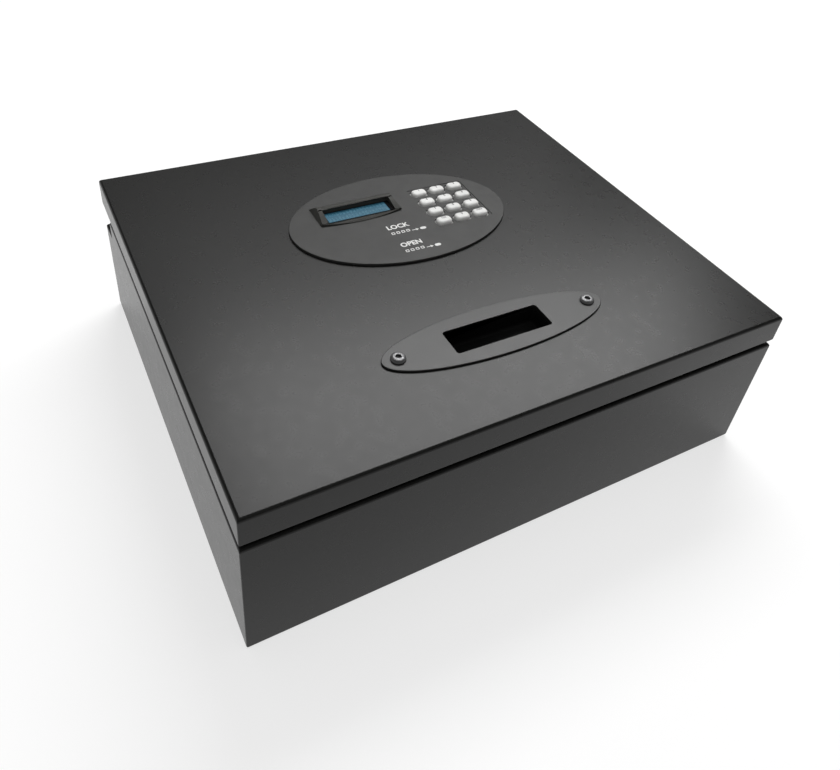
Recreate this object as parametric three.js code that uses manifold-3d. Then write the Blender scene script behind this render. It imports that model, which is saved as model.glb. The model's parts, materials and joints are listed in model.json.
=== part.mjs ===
// Top-opening electronic safe with a finger pull in its lid.
// Millimetres. Origin at the centre of the underside, X to the right, Y from front to rear, Z up.
// Every size is set once below; what fits, seats or lines up is worked out from these values.

import * as THREE from 'three';
import { mergeVertices } from 'three/addons/utils/BufferGeometryUtils.js';
import Module from 'manifold-3d';

// Box
const boxWidth = 410;
const boxDepth = 350;
const boxHeight = 130; // underside to the top of the lid
const bodySheet = 2;
const lidSheet = 2;
const bendRadius = 3; // outside radius of every fold
const lidGap = 4; // shadow gap between the lid's lip and the body's rim
const seat = 0.3; // gap kept between two pieces that touch
const past = 1; // how far a cutter or a joined solid runs past a face
const arcGap = 0.1; // keeps the two arcs of a full round apart

// Body
const frontRim = 18; // width of the inward fold along the front
const sideRim = 14;
const rimCorner = 8;
const stepDepth = 24; // ledge behind the riser, which the lid's rear swings into
const stepHeight = 87;
const upstandGap = 4; // riser top to the lid's underside
const upstandSetIn = 1.5; // riser end to the lid's side fold
const anchorHole = 9; // bolts the safe down to a shelf
const anchorInset = 55; // from the walls
const matThickness = 3;
const matMargin = 1;
const matHoleMargin = 5;
const bumperHead = 8;
const bumperStem = 4.4;
const bumperInset = 26; // from the side wall
const bumperClearance = 0.4;
const bumperMargin = 1; // head to the inner edge of the lid's fold
const bumperBarb = 0.9;
const bumperTail = 2.5;
const bumperRound = 1;

// Lid pan
const lipHeight = 22.5; // front and side lips
const rearLipHeight = 8;
const returnFold = 12; // inward fold under the lips

// Hinges
const pivotInset = 17; // rear face to the pivot
const pivotDrop = 17.5; // lid top to the pivot
const hingeInset = 55; // side wall to the middle of the hinge
const hingeEye = 6; // outer radius round the pin
const hingePin = 6; // diameter
const pinClearance = 0.5; // on the diameter
const earThickness = 3;
const earCorner = 2;
const armWidth = 12;
const armClearance = 0.5;
const clevisBase = 3;
const clevisFoot = 4; // ledge to the bottom of the clevis
const clevisWebGap = 1; // arm's eye to the plate between the ears
const armFlange = 2.5;
const armFlangeLength = 26;
const armFlangeRear = 10; // pivot to the flange's rear end
const pinHead = 9.5;
const pinHeadHeight = 1.6;
const pinHeadRound = 0.5;
const pinTail = 3;
const pinChamfer = 0.6;
const clipDiameter = 8; // retaining clip on the pin's tail
const clipThickness = 1;

// Console: an oval plate on the lid
const consoleLength = 184;
const consoleBreadth = 117;
const consoleThickness = 1.8;
const consoleSetBack = 144.3; // finger slot's centre to the oval's centre
const plateRound = 0.5; // rounded upper edge of both plates

// Display and its hood
const hoodLength = 70.5;
const hoodDepth = 29;
const hoodX = -30.25;
const hoodSetBack = 17.5; // from the oval's centre
const hoodHeight = 5.4; // at the ridge
const hoodFront = 0.7; // height of the front edge
const hoodRidge = 8; // ridge to the back of the hood
const hoodBow = 4.3; // how far the front edge bows out
const hoodDraft = 2.2; // lean of the hood's ends
const hoodCorner = 2.5;
const hoodRearCurve = 0.35; // how full the curves each side of the ridge are
const hoodFrontCurve = 0.36;
const hoodSwell = 3.9; // height that the front curve bends towards
const windowLength = 57.8;
const windowDepth = 14.8;
const windowSetBack = 2.4; // ridge to the window
const windowCorner = 0.8;
const screenDepth = 4.4; // ridge down to the screen
const screenBorder = 0.8;
const screenRightBorder = 3.6;
const screenThickness = 0.6;
const moduleDrop = 9; // screen down to the display board
const moduleBoard = 1.6;
const moduleMargin = 3;
const moduleClearance = 1;

// Keys
const keyColumns = 3;
const keyRows = 4;
const keyPitchX = 16.9;
const keyPitchY = 14.2;
const keypadX = 46.2;
const keypadSetBack = 2; // from the oval's centre
const keyLength = 14.2;
const keyBreadth = 9.6;
const keyProud = 2.2;
const keyEdge = 0.8; // rounded edge of the cap
const keyTravel = 1.2;
const keyClearance = 0.4;
const keyFlange = 1; // collar under the plate
const keyFlangeHeight = 1.4;
const keyStemLength = 10;
const keyStemBreadth = 6;
const keyStemHeight = 1.1;
const padMargin = 1.6; // outer keys to the opening in the lid
const padCorner = 3;
const keyMatMargin = 4;
const keyMatPocket = 0.5; // room round the keys' collars
const keyMatGap = 0.2; // pressed key to the mat
const boardThickness = 1.6;
const boardCorner = 2;
const matBoardGap = 0.4;

// Finger pull
const handleLength = 176;
const handleBreadth = 46;
const handleThickness = 1.2;
const handleInset = 71; // front face to the slot's centre
const pullLength = 76.5;
const pullBreadth = 22;
const pullCorner = 2;
const pullDepth = 16.2; // plate top to the floor of the cup
const pullUndercut = 8; // finger room under the front edge
const cupSheet = 1.5;
const cupCorner = 4;
const cupFlangeBreadth = 42;
const cupFlangeCorner = 12;
const screwInset = 11.5; // oval's end to the screw
const screwDiameter = 6;
const screwHead = 10.5;
const screwHeadHeight = 2.8;
const screwRim = 0.4; // straight edge under the dome
const screwChamfer = 0.6;
const screwSocket = 4; // across flats
const screwSocketDepth = 1.8;
const screwLength = 13; // under the head
const screwClearance = 0.6;
const nutAcross = 10;
const nutHeight = 5;

// Lock housing under the lid
const cupGap = 6.5; // finger cup's flange to the housing's side wall
const housingFrontGap = 6; // rim's inner edge to the housing
const housingPastConsole = 46.5; // oval's centre to the rear wall
const housingPastPinion = 31; // pinion to the end of the deep part
const housingSheet = 2;
const housingCorner = 8;
const housingFlange = 12;
const boltDiameter = 12;
const boltPlay = 1; // bolt to the underside of the rim
const boltFloorGap = 2.6; // bolt to the housing floor
const shallowDepth = 32; // lid top to the bottom of the shallow part
const studDiameter = 4;
const studLength = 8;
const studInset = 6; // flange edge to the stud
const studEnd = 20; // housing's ends to the studs
const studClearance = 0.4;
const studNutAcross = 7;
const studNutHeight = 3.2;

// Bolt work
const boltInset = 25; // housing's side to a bolt's middle
const boltTravel = 14;
const boltReach = 3.2; // bolt tips ahead of the housing when drawn back
const barClearance = 1; // bolt bar thrown forward to the housing's front wall
const boltHoleClearance = 0.8;
const boltChamfer = 2;
const tongueLength = 7.5;
const tongueWidth = 9;
const plateThickness = 4;
const plateCorner = 2;
const crossbarWidth = 15;
const crossbarEnd = 10; // past the bolt centres
const armLeft = -10;
const rackX = 5; // pitch line of the rack
const guideX = -3;
const guideShank = 4;
const guideClearance = 0.6;
const guidePilot = 0.2;
const guideFloorGap = 0.4;
const guideHead = 8;
const guideHeadHeight = 2.2;
const guideHeadRound = 0.7;
const guideSocket = 2.8; // across flats
const guideSocketDepth = 1.2;
const guideFirst = 9; // crossbar's rear edge back to the first guide
const guidePitch = 30;
const gearModule = 1.25;
const pinionTeeth = 12;
const toothDepth = 1.25; // root depth in modules
const pressureAngle = 25 * Math.PI / 180;
const gearBacklash = 0.16; // along the pitch line
const rackTeeth = 8;
const rackTail = 2; // last tooth to the end of the arm
const pinionSetBack = 21; // second guide to the pinion
const pinionHeight = 5;
const shaftDiameter = 3;
const shaftClearance = 0.4;
const motorDiameter = 20;
const motorHeight = 20;
const motorCan = 18;
const motorRound = 1;
const gearboxHeight = 8;
const motorBoss = 7;
const motorBossHeight = 2.5;
const bracketSheet = 2;
const bracketDepth = 28;
const bracketGap = 2.4; // bolt plate to the bracket
const bracketSide = 4; // room beside the rack arm and the pinion

// Battery bay and boards
const cellDiameter = 14.2;
const cellLength = 49;
const cellNub = 5.5;
const cellNubHeight = 1.2;
const cellCrimp = 0.8;
const cellCount = 4;
const cellPitch = 15;
const bayInset = 39; // housing's side to the cells' middle
const baySetBack = 40; // end of the deep part to the cells' middle
const bayWall = 1.6;
const contactSheet = 0.6;
const contactSpring = 1.4;
const contactInset = 2; // cell's top and bottom to the strip's
const doorThickness = 2;
const doorOverlap = 3;
const railLip = 2;
const railWall = 2;
const gripGrooves = 5; // finger grip on the door
const gripPitch = 3;
const gripLength = 28;
const gripWidth = 1.4;
const gripDepth = 0.6;
const gripInset = 6;
const boardX = 34;
const boardSetBack = 21; // end of the deep part to the board's middle
const boardLength = 92;
const boardBreadth = 30;
const boardStandoff = 5;
const standoffInset = 5;
const standoffDiameter = 6;
const partInset = 2; // board's edges to the parts on it
const chipLength = 16;
const chipBreadth = 12;
const chipHeight = 2;
const relayLength = 15;
const relayBreadth = 10;
const relayHeight = 9;
const plugLength = 16;
const plugBreadth = 6;
const plugHeight = 6;
const canDiameter = 8;
const canHeight = 8;
const canPitch = 11;
const solderDepth = 0.2;

// Heights and places that follow from the sizes above
const rimZ = boxHeight - lipHeight - lidGap;
const lipZ = boxHeight - lipHeight;
const lidUnder = boxHeight - lidSheet;
const riserY = boxDepth / 2 - stepDepth;
const upstandZ = lidUnder - upstandGap;
const pivotY = boxDepth / 2 - pivotInset;
const pivotZ = boxHeight - pivotDrop;
const plateSeatZ = boxHeight + seat;
const handleY = -boxDepth / 2 + handleInset;
const consoleY = handleY + consoleSetBack;
const hoodY = consoleY + hoodSetBack;
const keypadY = consoleY + keypadSetBack;
const handleScrewPitch = handleLength - 2 * screwInset;
const housingLength = handleScrewPitch + 2 * (nutAcross + cupGap + housingSheet);
const boltSpacing = housingLength - 2 * boltInset;
const bayX = bayInset - housingLength / 2;
const consoleTop = plateSeatZ + consoleThickness;
const handleTop = plateSeatZ + handleThickness;
const ridgeZ = consoleTop + seat + hoodHeight;
const ridgeY = hoodY + hoodDepth / 2 - hoodRidge;
const windowY = ridgeY - windowSetBack - windowDepth / 2;
const screenZ = ridgeZ - screenDepth;
const keyFlangeTop = plateSeatZ - seat;
const keyStemBottom = keyFlangeTop - keyFlangeHeight - keyStemHeight;
const keyMatTop = keyFlangeTop - keyFlangeHeight - keyTravel - keyMatGap;
const padBoardTop = keyStemBottom - keyTravel - matBoardGap;
const housingFront = -boxDepth / 2 + frontRim + housingFrontGap;
const boltZ = rimZ - bodySheet - boltPlay - boltDiameter / 2;
const housingFloorTop = boltZ - boltDiameter / 2 - boltFloorGap;
const housingBottom = housingFloorTop - housingSheet;
const shallowBottom = boxHeight - shallowDepth;
const shallowFloorTop = shallowBottom + housingSheet;
const housingTop = lidUnder - seat;
const housingRear = consoleY + housingPastConsole;
const boltTip = housingFront - boltReach;
const boltLength = boltReach + housingSheet + boltTravel + barClearance - seat;
const crossbarFront = boltTip + boltLength + seat;
const crossbarRear = crossbarFront + crossbarWidth;
const plateBottom = boltZ - plateThickness / 2;
const plateTop = boltZ + plateThickness / 2;
const pitchRadius = gearModule * pinionTeeth / 2;
const pinionX = rackX + pitchRadius;
const pinionY = crossbarRear + guideFirst + guidePitch + pinionSetBack;
const housingDeepRear = pinionY + housingPastPinion;
const bayY = housingDeepRear + baySetBack;
const boardY = housingDeepRear + boardSetBack;
const toothPitch = Math.PI * gearModule;
const rackFront = pinionY - (rackTeeth - boltTravel / toothPitch) * toothPitch / 2;
const bayTop = shallowBottom + cellDiameter + 2 * seat;
const bayDepth = cellLength + cellNubHeight + 2 * (contactSheet + contactSpring + seat);
const bayLength = cellPitch * cellCount;

// Materials
const paint = new THREE.MeshStandardMaterial({ color: 0x3b3b3a, roughness: 0.42, metalness: 0.3 });
const moulded = new THREE.MeshStandardMaterial({ color: 0x4a4a49, roughness: 0.5, metalness: 0 });
const darkMoulded = new THREE.MeshStandardMaterial({ color: 0x1c1c1c, roughness: 0.6, metalness: 0 });
const plated = new THREE.MeshStandardMaterial({ color: 0x565655, roughness: 0.38, metalness: 0.4 });
const zinc = new THREE.MeshStandardMaterial({ color: 0xb4b6b8, roughness: 0.35, metalness: 0.9 });
const blackSteel = new THREE.MeshStandardMaterial({ color: 0x2a2a2a, roughness: 0.35, metalness: 0.6 });
const keyWhite = new THREE.MeshStandardMaterial({ color: 0xe6e6e4, roughness: 0.4, metalness: 0 });
const silicone = new THREE.MeshStandardMaterial({ color: 0x8d8f90, roughness: 0.8, metalness: 0 });
const rubber = new THREE.MeshStandardMaterial({ color: 0x151515, roughness: 0.9, metalness: 0 });
const felt = new THREE.MeshStandardMaterial({ color: 0x26282b, roughness: 1, metalness: 0 });
const circuit = new THREE.MeshStandardMaterial({ color: 0x1f5a36, roughness: 0.5, metalness: 0 });
const screenBlue = new THREE.MeshStandardMaterial({ color: 0x3c82a0, roughness: 0.2, metalness: 0 });
const nylon = new THREE.MeshStandardMaterial({ color: 0xe9e4d6, roughness: 0.5, metalness: 0 });
const cellJacket = new THREE.MeshStandardMaterial({ color: 0x8a8d92, roughness: 0.35, metalness: 0.5 });

// Solids
const wasm = await Module();
wasm.setup();

function solid(geometry) {
  const bare = geometry.clone();
  bare.deleteAttribute('normal');
  bare.deleteAttribute('uv');
  const merged = mergeVertices(bare, 1e-4);
  const points = new Float32Array(merged.getAttribute('position').array);
  const corners = [];
  for (let i = 0; i < merged.index.count; i += 3) {
    const [a, b, c] = [0, 1, 2].map((k) => merged.index.getX(i + k));
    if (a !== b && b !== c && c !== a) corners.push(a, b, c);
  }
  if (signedVolume(points, corners) < 0) corners.reverse();
  return new wasm.Manifold(new wasm.Mesh({
    numProp: 3, vertProperties: points, triVerts: new Uint32Array(corners),
  }));
}

function signedVolume(points, corners) {
  const at = (i) => new THREE.Vector3().fromArray(points, 3 * i);
  let six = 0;
  for (let i = 0; i < corners.length; i += 3) {
    six += at(corners[i]).dot(at(corners[i + 1]).cross(at(corners[i + 2])));
  }
  return six / 6;
}

function mesh(name, body, material, x = 0, y = 0, z = 0) {
  const { vertProperties, triVerts } = body.getMesh();
  const geometry = new THREE.BufferGeometry();
  geometry.setAttribute('position', new THREE.BufferAttribute(new Float32Array(vertProperties), 3));
  geometry.setIndex(new THREE.BufferAttribute(new Uint32Array(triVerts), 1));
  const piece = new THREE.Mesh(geometry.toNonIndexed(), material);
  piece.geometry.computeVertexNormals();
  piece.name = name;
  piece.position.set(x, y, z);
  return piece;
}

function join(...bodies) {
  return bodies.reduce((sum, body) => sum.add(body));
}

// Outlines: corners are [x, y, radius], and each radius is an arc tangent to both sides
function outline(corners) {
  const shape = new THREE.Shape();
  corners.forEach(([x, y, radius = 0], i) => {
    const corner = new THREE.Vector2(x, y);
    const [beforeX, beforeY] = corners.at(i - 1);
    const [afterX, afterY] = corners[(i + 1) % corners.length];
    const back = new THREE.Vector2(beforeX, beforeY).sub(corner).normalize();
    const ahead = new THREE.Vector2(afterX, afterY).sub(corner).normalize();
    const half = Math.acos(back.dot(ahead)) / 2;
    const reach = radius / Math.tan(half);
    const start = corner.clone().addScaledVector(back, reach);
    if (i === 0) shape.moveTo(start.x, start.y);
    else shape.lineTo(start.x, start.y);
    if (radius === 0) return;
    const middle = back.clone().add(ahead).normalize();
    const centre = corner.clone().addScaledVector(middle, radius / Math.sin(half));
    const end = corner.clone().addScaledVector(ahead, reach);
    const from = start.sub(centre).angle();
    const to = end.sub(centre).angle();
    shape.absarc(centre.x, centre.y, radius, from, to, back.cross(ahead) > 0);
  });
  shape.closePath();
  return shape;
}

function rectangle(x0, x1, y0, y1, radius = 0) {
  return outline([[x0, y0, radius], [x1, y0, radius], [x1, y1, radius], [x0, y1, radius]]);
}

function slot(x, y0, y1, width) {
  return rectangle(x - width / 2, x + width / 2, y0 - width / 2, y1 + width / 2, width / 2 - arcGap);
}

function extrude(shape, depth, arcSteps) {
  return new THREE.ExtrudeGeometry(shape, { depth, bevelEnabled: false, curveSegments: arcSteps });
}

function prismZ(shape, low, high, arcSteps = 2) {
  return solid(extrude(shape, high - low, arcSteps).translate(0, 0, low));
}

// The outline is drawn in Y and Z
function prismX(shape, low, high, arcSteps = 2) {
  const turn = new THREE.Matrix4().makeBasis(
    new THREE.Vector3(0, 1, 0), new THREE.Vector3(0, 0, 1), new THREE.Vector3(1, 0, 0));
  return solid(extrude(shape, high - low, arcSteps).applyMatrix4(turn).translate(low, 0, 0));
}

// The outline is drawn in X and Z
function prismY(shape, low, high, arcSteps = 2) {
  return solid(extrude(shape, high - low, arcSteps).rotateX(Math.PI / 2).translate(0, high, 0));
}

function block(x0, x1, y0, y1, z0, z1) {
  const box = new THREE.BoxGeometry(x1 - x0, y1 - y0, z1 - z0);
  return solid(box.translate((x0 + x1) / 2, (y0 + y1) / 2, (z0 + z1) / 2));
}

function rod(radius, low, high, sides = 24) {
  const cylinder = new THREE.CylinderGeometry(radius, radius, high - low, sides);
  return cylinder.rotateX(Math.PI / 2).translate(0, 0, (low + high) / 2);
}

function rodZ(x, y, radius, low, high, sides) {
  return solid(rod(radius, low, high, sides).translate(x, y, 0));
}

function rodX(y, z, radius, low, high, sides) {
  return solid(rod(radius, low, high, sides).rotateY(Math.PI / 2).translate(0, y, z));
}

function rodY(x, z, radius, low, high, sides) {
  return solid(rod(radius, low, high, sides).rotateX(-Math.PI / 2).translate(x, 0, z));
}

// A turned piece: profile points are [radius, height], from the axis and back to it
function turned(profile, sides = 24) {
  const points = profile.map(([radius, height]) => new THREE.Vector2(radius, height));
  return new THREE.LatheGeometry(points, sides).rotateX(Math.PI / 2);
}

// An oval plate with a rounded upper edge
function ovalPlate(length, breadth, thickness, sides) {
  const half = length / 2;
  const profile = [[0, 0], [half, 0]];
  for (let i = 0; i <= 2; i++) {
    const angle = i / 2 * Math.PI / 2;
    const [inward, down] = [1 - Math.cos(angle), 1 - Math.sin(angle)];
    profile.push([half - plateRound * inward, thickness - plateRound * down]);
  }
  profile.push([0, thickness]);
  return solid(turned(profile, sides).scale(1, breadth / length, 1));
}

// A stack of pill outlines: levels are [height, growth of the outline]
function pillStack(length, breadth, levels, endPoints = 7) {
  const rings = levels.map(([height, grow]) => {
    const radius = breadth / 2 + grow;
    const reach = (length - breadth) / 2;
    return Array.from({ length: 2 * endPoints }, (_, i) => {
      const side = i < endPoints ? 1 : -1;
      const angle = (i % endPoints / (endPoints - 1) - 0.5) * Math.PI;
      return [side * (reach + radius * Math.cos(angle)), side * radius * Math.sin(angle), height];
    });
  });
  const count = rings[0].length;
  const points = [[0, 0, levels[0][0]], ...rings.flat(), [0, 0, levels.at(-1)[0]]];
  const corners = [];
  for (let i = 0; i < count; i++) {
    const next = (i + 1) % count;
    corners.push(0, 1 + next, 1 + i);
    for (let k = 0; k + 1 < rings.length; k++) {
      const [low, high] = [1 + k * count, 1 + (k + 1) * count];
      corners.push(low + i, low + next, high + next, low + i, high + next, high + i);
    }
    const top = 1 + (rings.length - 1) * count;
    corners.push(top + i, top + next, points.length - 1);
  }
  const geometry = new THREE.BufferGeometry();
  geometry.setAttribute('position', new THREE.Float32BufferAttribute(points.flat(), 3));
  geometry.setIndex(corners);
  return solid(geometry);
}

// Body shell: floor, four walls, rear ledge and riser, and the rim's inward folds
function bodyProfile(inset) {
  const [front, rear] = [-boxDepth / 2 + inset, boxDepth / 2 - inset];
  const [ledge, riser, rim] = [stepHeight - inset, riserY - inset, rimZ - inset];
  const radius = bendRadius - inset;
  return outline([
    [front, inset, radius], [rear, inset, radius], [rear, ledge, radius],
    [riser, ledge], [riser, rim], [front, rim, radius],
  ]);
}

function anchorPlaces() {
  const [x, y] = [boxWidth / 2 - anchorInset, boxDepth / 2 - anchorInset];
  return [-1, 1].flatMap((side) => [-1, 1].map((end) => [side * x, end * y]));
}

function bumperPlaces() {
  const y = -boxDepth / 2 + returnFold - bumperHead / 2 - bumperMargin;
  return [-1, 1].map((side) => [side * (boxWidth / 2 - bumperInset), y]);
}

function bodyShell() {
  const [halfX, halfY] = [boxWidth / 2, boxDepth / 2];
  const plan = rectangle(-halfX, halfX, -halfY, halfY, bendRadius);
  const front = rectangle(-halfX, halfX, 0, rimZ, bendRadius);
  const outside = prismX(bodyProfile(0), -halfX, halfX)
    .intersect(prismZ(plan, -past, rimZ + past))
    .intersect(prismY(front, -halfY - past, halfY + past));
  const inside = prismX(bodyProfile(bodySheet), -halfX + bodySheet, halfX - bodySheet);
  const mouth = outline([
    [-halfX + sideRim, -halfY + frontRim, rimCorner], [halfX - sideRim, -halfY + frontRim, rimCorner],
    [halfX - sideRim, riserY - bodySheet], [-halfX + sideRim, riserY - bodySheet],
  ]);
  const upstandX = halfX - returnFold - upstandSetIn;
  let shell = outside.subtract(inside)
    .subtract(prismZ(mouth, rimZ - bodySheet - past, rimZ + past))
    .add(block(-upstandX, upstandX, riserY - bodySheet, riserY, rimZ - bodySheet, upstandZ));
  for (const [x, y] of anchorPlaces()) {
    shell = shell.subtract(rodZ(x, y, anchorHole / 2, -past, bodySheet + past, 16));
  }
  for (const [x, y] of bumperPlaces()) {
    const radius = (bumperStem + bumperClearance) / 2;
    shell = shell.subtract(rodZ(x, y, radius, rimZ - bodySheet - past, rimZ + past, 16));
  }
  return mesh('body_shell', shell, paint);
}

function floorMat() {
  const [x, y] = [boxWidth / 2 - bodySheet - matMargin, boxDepth / 2 - bodySheet - matMargin];
  let mat = prismZ(rectangle(-x, x, -y, y, bendRadius), 0, matThickness);
  for (const [holeX, holeY] of anchorPlaces()) {
    mat = mat.subtract(rodZ(holeX, holeY, anchorHole / 2 + matHoleMargin, -past, matThickness + past, 16));
  }
  return mesh('floor_mat', mat, felt, 0, 0, bodySheet + seat);
}

// Push-in rubber bumpers in the front rim, which the lid's fold comes down on
function bumper(name, x, y) {
  const [head, stem] = [bumperHead / 2, bumperStem / 2];
  const top = lidGap - 2 * seat;
  const under = -bodySheet - 2 * seat;
  const profile = [
    [0, under - bumperTail], [stem - bumperBarb, under - bumperTail], [stem + bumperBarb, under],
    [stem, under], [stem, 0], [head, 0], [head, top - bumperRound], [head - bumperRound, top], [0, top],
  ];
  return mesh(name, solid(turned(profile, 14)), rubber, x, y, rimZ + seat);
}

// Hinges: a clevis on the riser, an arm under the lid and a headed pin, drawn round the pivot
const clevisHalf = armWidth / 2 + armClearance + earThickness;

function clevis(name, x) {
  const face = riserY + seat - pivotY;
  const foot = stepHeight + clevisFoot - pivotZ;
  const ear = outline([
    [face, foot], [face + clevisBase, foot], [hingeEye, -hingeEye, earCorner],
    [hingeEye, hingeEye, hingeEye - arcGap], [face, hingeEye, earCorner],
  ]);
  const base = block(-clevisHalf, clevisHalf, face, face + clevisBase, foot, -hingeEye - clevisWebGap);
  const ears = prismX(ear, -clevisHalf, clevisHalf)
    .subtract(prismX(ear, -clevisHalf + earThickness, clevisHalf - earThickness));
  const bore = rodX(0, 0, (hingePin + pinClearance) / 2, -clevisHalf - past, clevisHalf + past, 18);
  return mesh(name, ears.add(base).subtract(bore), paint, x, pivotY, pivotZ);
}

function lidArm(name, x) {
  const top = lidUnder - seat - pivotZ;
  const [front, rear] = [armFlangeRear - armFlangeLength, armFlangeRear];
  const web = outline([
    [-hingeEye, -hingeEye, hingeEye - arcGap], [hingeEye, -hingeEye, hingeEye - arcGap],
    [hingeEye, top - armFlange], [rear, top - armFlange], [rear, top], [front, top],
    [front, top - armFlange], [-hingeEye, top - armFlange],
  ]);
  const arm = prismX(web, -armWidth / 2, armWidth / 2, 3)
    .subtract(rodX(0, 0, (hingePin + pinClearance) / 2, -armWidth, armWidth, 18));
  return mesh(name, arm, paint, x, pivotY, pivotZ);
}

function hingePinPiece(name, x, side) {
  const [shank, head, clip] = [hingePin / 2, pinHead / 2, clipDiameter / 2];
  const end = clevisHalf + seat;
  const top = end + pinHeadHeight;
  const profile = [
    [0, -end - pinTail], [shank - pinChamfer, -end - pinTail], [shank, -end - pinTail + pinChamfer],
    [shank, -end - clipThickness], [clip, -end - clipThickness], [clip, -end], [shank, -end],
    [shank, end], [head, end], [head, top - pinHeadRound], [head - pinHeadRound, top], [0, top],
  ];
  const pin = solid(turned(profile, 14).rotateY(side * Math.PI / 2));
  return mesh(name, pin, zinc, x, pivotY, pivotZ);
}

// Lid pan with its openings, its return folds and the weld studs that hold the lock housing
function studPlaces() {
  const x = housingLength / 2 + housingFlange - studInset;
  const ends = [housingFront + studEnd, housingRear - studEnd];
  return [-1, 1].flatMap((side) => ends.map((y) => [side * x, y]));
}

function padOpening() {
  const x = (keyColumns - 1) / 2 * keyPitchX + keyLength / 2 + padMargin;
  const y = (keyRows - 1) / 2 * keyPitchY + keyBreadth / 2 + padMargin;
  return { x, y };
}

function moduleOpening(clearance) {
  const [x, y] = [windowLength / 2 + clearance, windowDepth / 2 + clearance];
  return rectangle(hoodX - x, hoodX + x, windowY - y, windowY + y, windowCorner);
}

function pullOpening(grow = 0) {
  const [x, y] = [pullLength / 2 + grow, pullBreadth / 2 + grow];
  return rectangle(-x, x, handleY - y, handleY + y, pullCorner + grow);
}

function lidShell() {
  const [halfX, halfY, fold] = [boxWidth / 2, boxDepth / 2, returnFold];
  const [low, high] = [lipZ - bendRadius, boxHeight];
  const side = outline([
    [-halfY, low], [halfY, low], [halfY, high, bendRadius], [-halfY, high, bendRadius],
  ]);
  const front = outline([
    [-halfX, low], [halfX, low], [halfX, high, bendRadius], [-halfX, high, bendRadius],
  ]);
  const outside = prismX(side, -halfX, halfX)
    .intersect(prismY(front, -halfY, halfY))
    .intersect(prismZ(rectangle(-halfX, halfX, -halfY, halfY, bendRadius), lipZ, high));
  const [inX, inY] = [halfX - lidSheet, halfY - lidSheet];
  const pad = padOpening();
  const padRectangle = rectangle(
    keypadX - pad.x, keypadX + pad.x, keypadY - pad.y, keypadY + pad.y, padCorner);
  let shell = outside
    .subtract(prismZ(rectangle(-inX, inX, -inY, inY, bendRadius - lidSheet), lipZ + lidSheet, lidUnder))
    .subtract(block(-halfX + fold, halfX - fold, -halfY + fold, inY, lipZ - past, lipZ + lidSheet + past))
    .subtract(block(-inX, inX, inY - past, halfY + past, lipZ - past, boxHeight - rearLipHeight))
    .subtract(prismZ(padRectangle, lidUnder - past, high + past))
    .subtract(prismZ(moduleOpening(moduleClearance), lidUnder - past, high + past))
    .subtract(prismZ(pullOpening(), lidUnder - past, high + past));
  for (const side of [-1, 1]) {
    const x = side * handleScrewPitch / 2;
    const radius = (screwDiameter + screwClearance) / 2;
    shell = shell.subtract(rodZ(x, handleY, radius, lidUnder - past, high + past, 20));
  }
  for (const [x, y] of studPlaces()) {
    shell = shell.add(rodZ(x, y, studDiameter / 2, lidUnder - studLength, lidUnder + lidSheet / 2, 12));
  }
  return mesh('lid_shell', shell, paint);
}

// Console plate, drawn round the centre of the oval
function keyPlaces() {
  const places = [];
  for (let row = 0; row < keyRows; row++) {
    for (let column = 0; column < keyColumns; column++) {
      const x = keypadX + (column - (keyColumns - 1) / 2) * keyPitchX;
      const y = keypadY + ((keyRows - 1) / 2 - row) * keyPitchY;
      places.push([x, y]);
    }
  }
  return places;
}

function consolePlate() {
  let plate = ovalPlate(consoleLength, consoleBreadth, consoleThickness, 60);
  const windowCut = prismZ(moduleOpening(seat), -past, consoleThickness + past);
  plate = plate.subtract(windowCut.translate([0, -consoleY, 0]));
  for (const [x, y] of keyPlaces()) {
    const levels = [[-past, keyClearance], [consoleThickness + past, keyClearance]];
    const hole = pillStack(keyLength, keyBreadth, levels);
    plate = plate.subtract(hole.translate([x, y - consoleY, 0]));
  }
  return mesh('console_plate', plate, moulded, 0, consoleY, plateSeatZ);
}

// Display hood: a wedge with a bowed front edge and a window, drawn from the console's top
function displayHood() {
  const [halfX, back, front] = [hoodLength / 2, hoodDepth / 2, -hoodDepth / 2 + hoodBow];
  const bowRadius = (halfX ** 2 + hoodBow ** 2) / (2 * hoodBow);
  const spread = Math.asin(halfX / bowRadius);
  const plan = new THREE.Shape();
  plan.moveTo(halfX, back - hoodCorner);
  plan.absarc(halfX - hoodCorner, back - hoodCorner, hoodCorner, 0, Math.PI / 2, false);
  plan.absarc(-halfX + hoodCorner, back - hoodCorner, hoodCorner, Math.PI / 2, Math.PI, false);
  plan.lineTo(-halfX, front);
  const bowCentre = -hoodDepth / 2 + bowRadius;
  plan.absarc(0, bowCentre, bowRadius, -Math.PI / 2 - spread, -Math.PI / 2 + spread, false);
  plan.closePath();
  const ridge = ridgeY - hoodY;
  const side = new THREE.Shape();
  side.moveTo(-hoodDepth / 2, 0);
  side.lineTo(back, 0);
  side.lineTo(back, hoodFront);
  side.quadraticCurveTo(ridge + hoodRidge * hoodRearCurve, hoodHeight, ridge, hoodHeight);
  side.quadraticCurveTo(ridge - hoodDepth * hoodFrontCurve, hoodSwell, -hoodDepth / 2, hoodFront);
  side.closePath();
  const [topX, topZ] = [halfX - hoodDraft, hoodHeight + past];
  const ends = outline([[-halfX, 0], [halfX, 0], [topX, topZ], [-topX, topZ]]);
  const [cutX, cutY] = [windowLength / 2, windowDepth / 2];
  const cutMiddle = windowY - hoodY;
  const opening = rectangle(-cutX, cutX, cutMiddle - cutY, cutMiddle + cutY, windowCorner);
  const hood = prismZ(plan, 0, hoodHeight + past, 6)
    .intersect(prismX(side, -halfX, halfX, 8))
    .intersect(prismY(ends, -hoodDepth, hoodDepth))
    .subtract(prismZ(opening, -past, hoodHeight + 2 * past));
  return mesh('display_hood', hood, moulded, hoodX, hoodY, consoleTop + seat);
}

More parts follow.
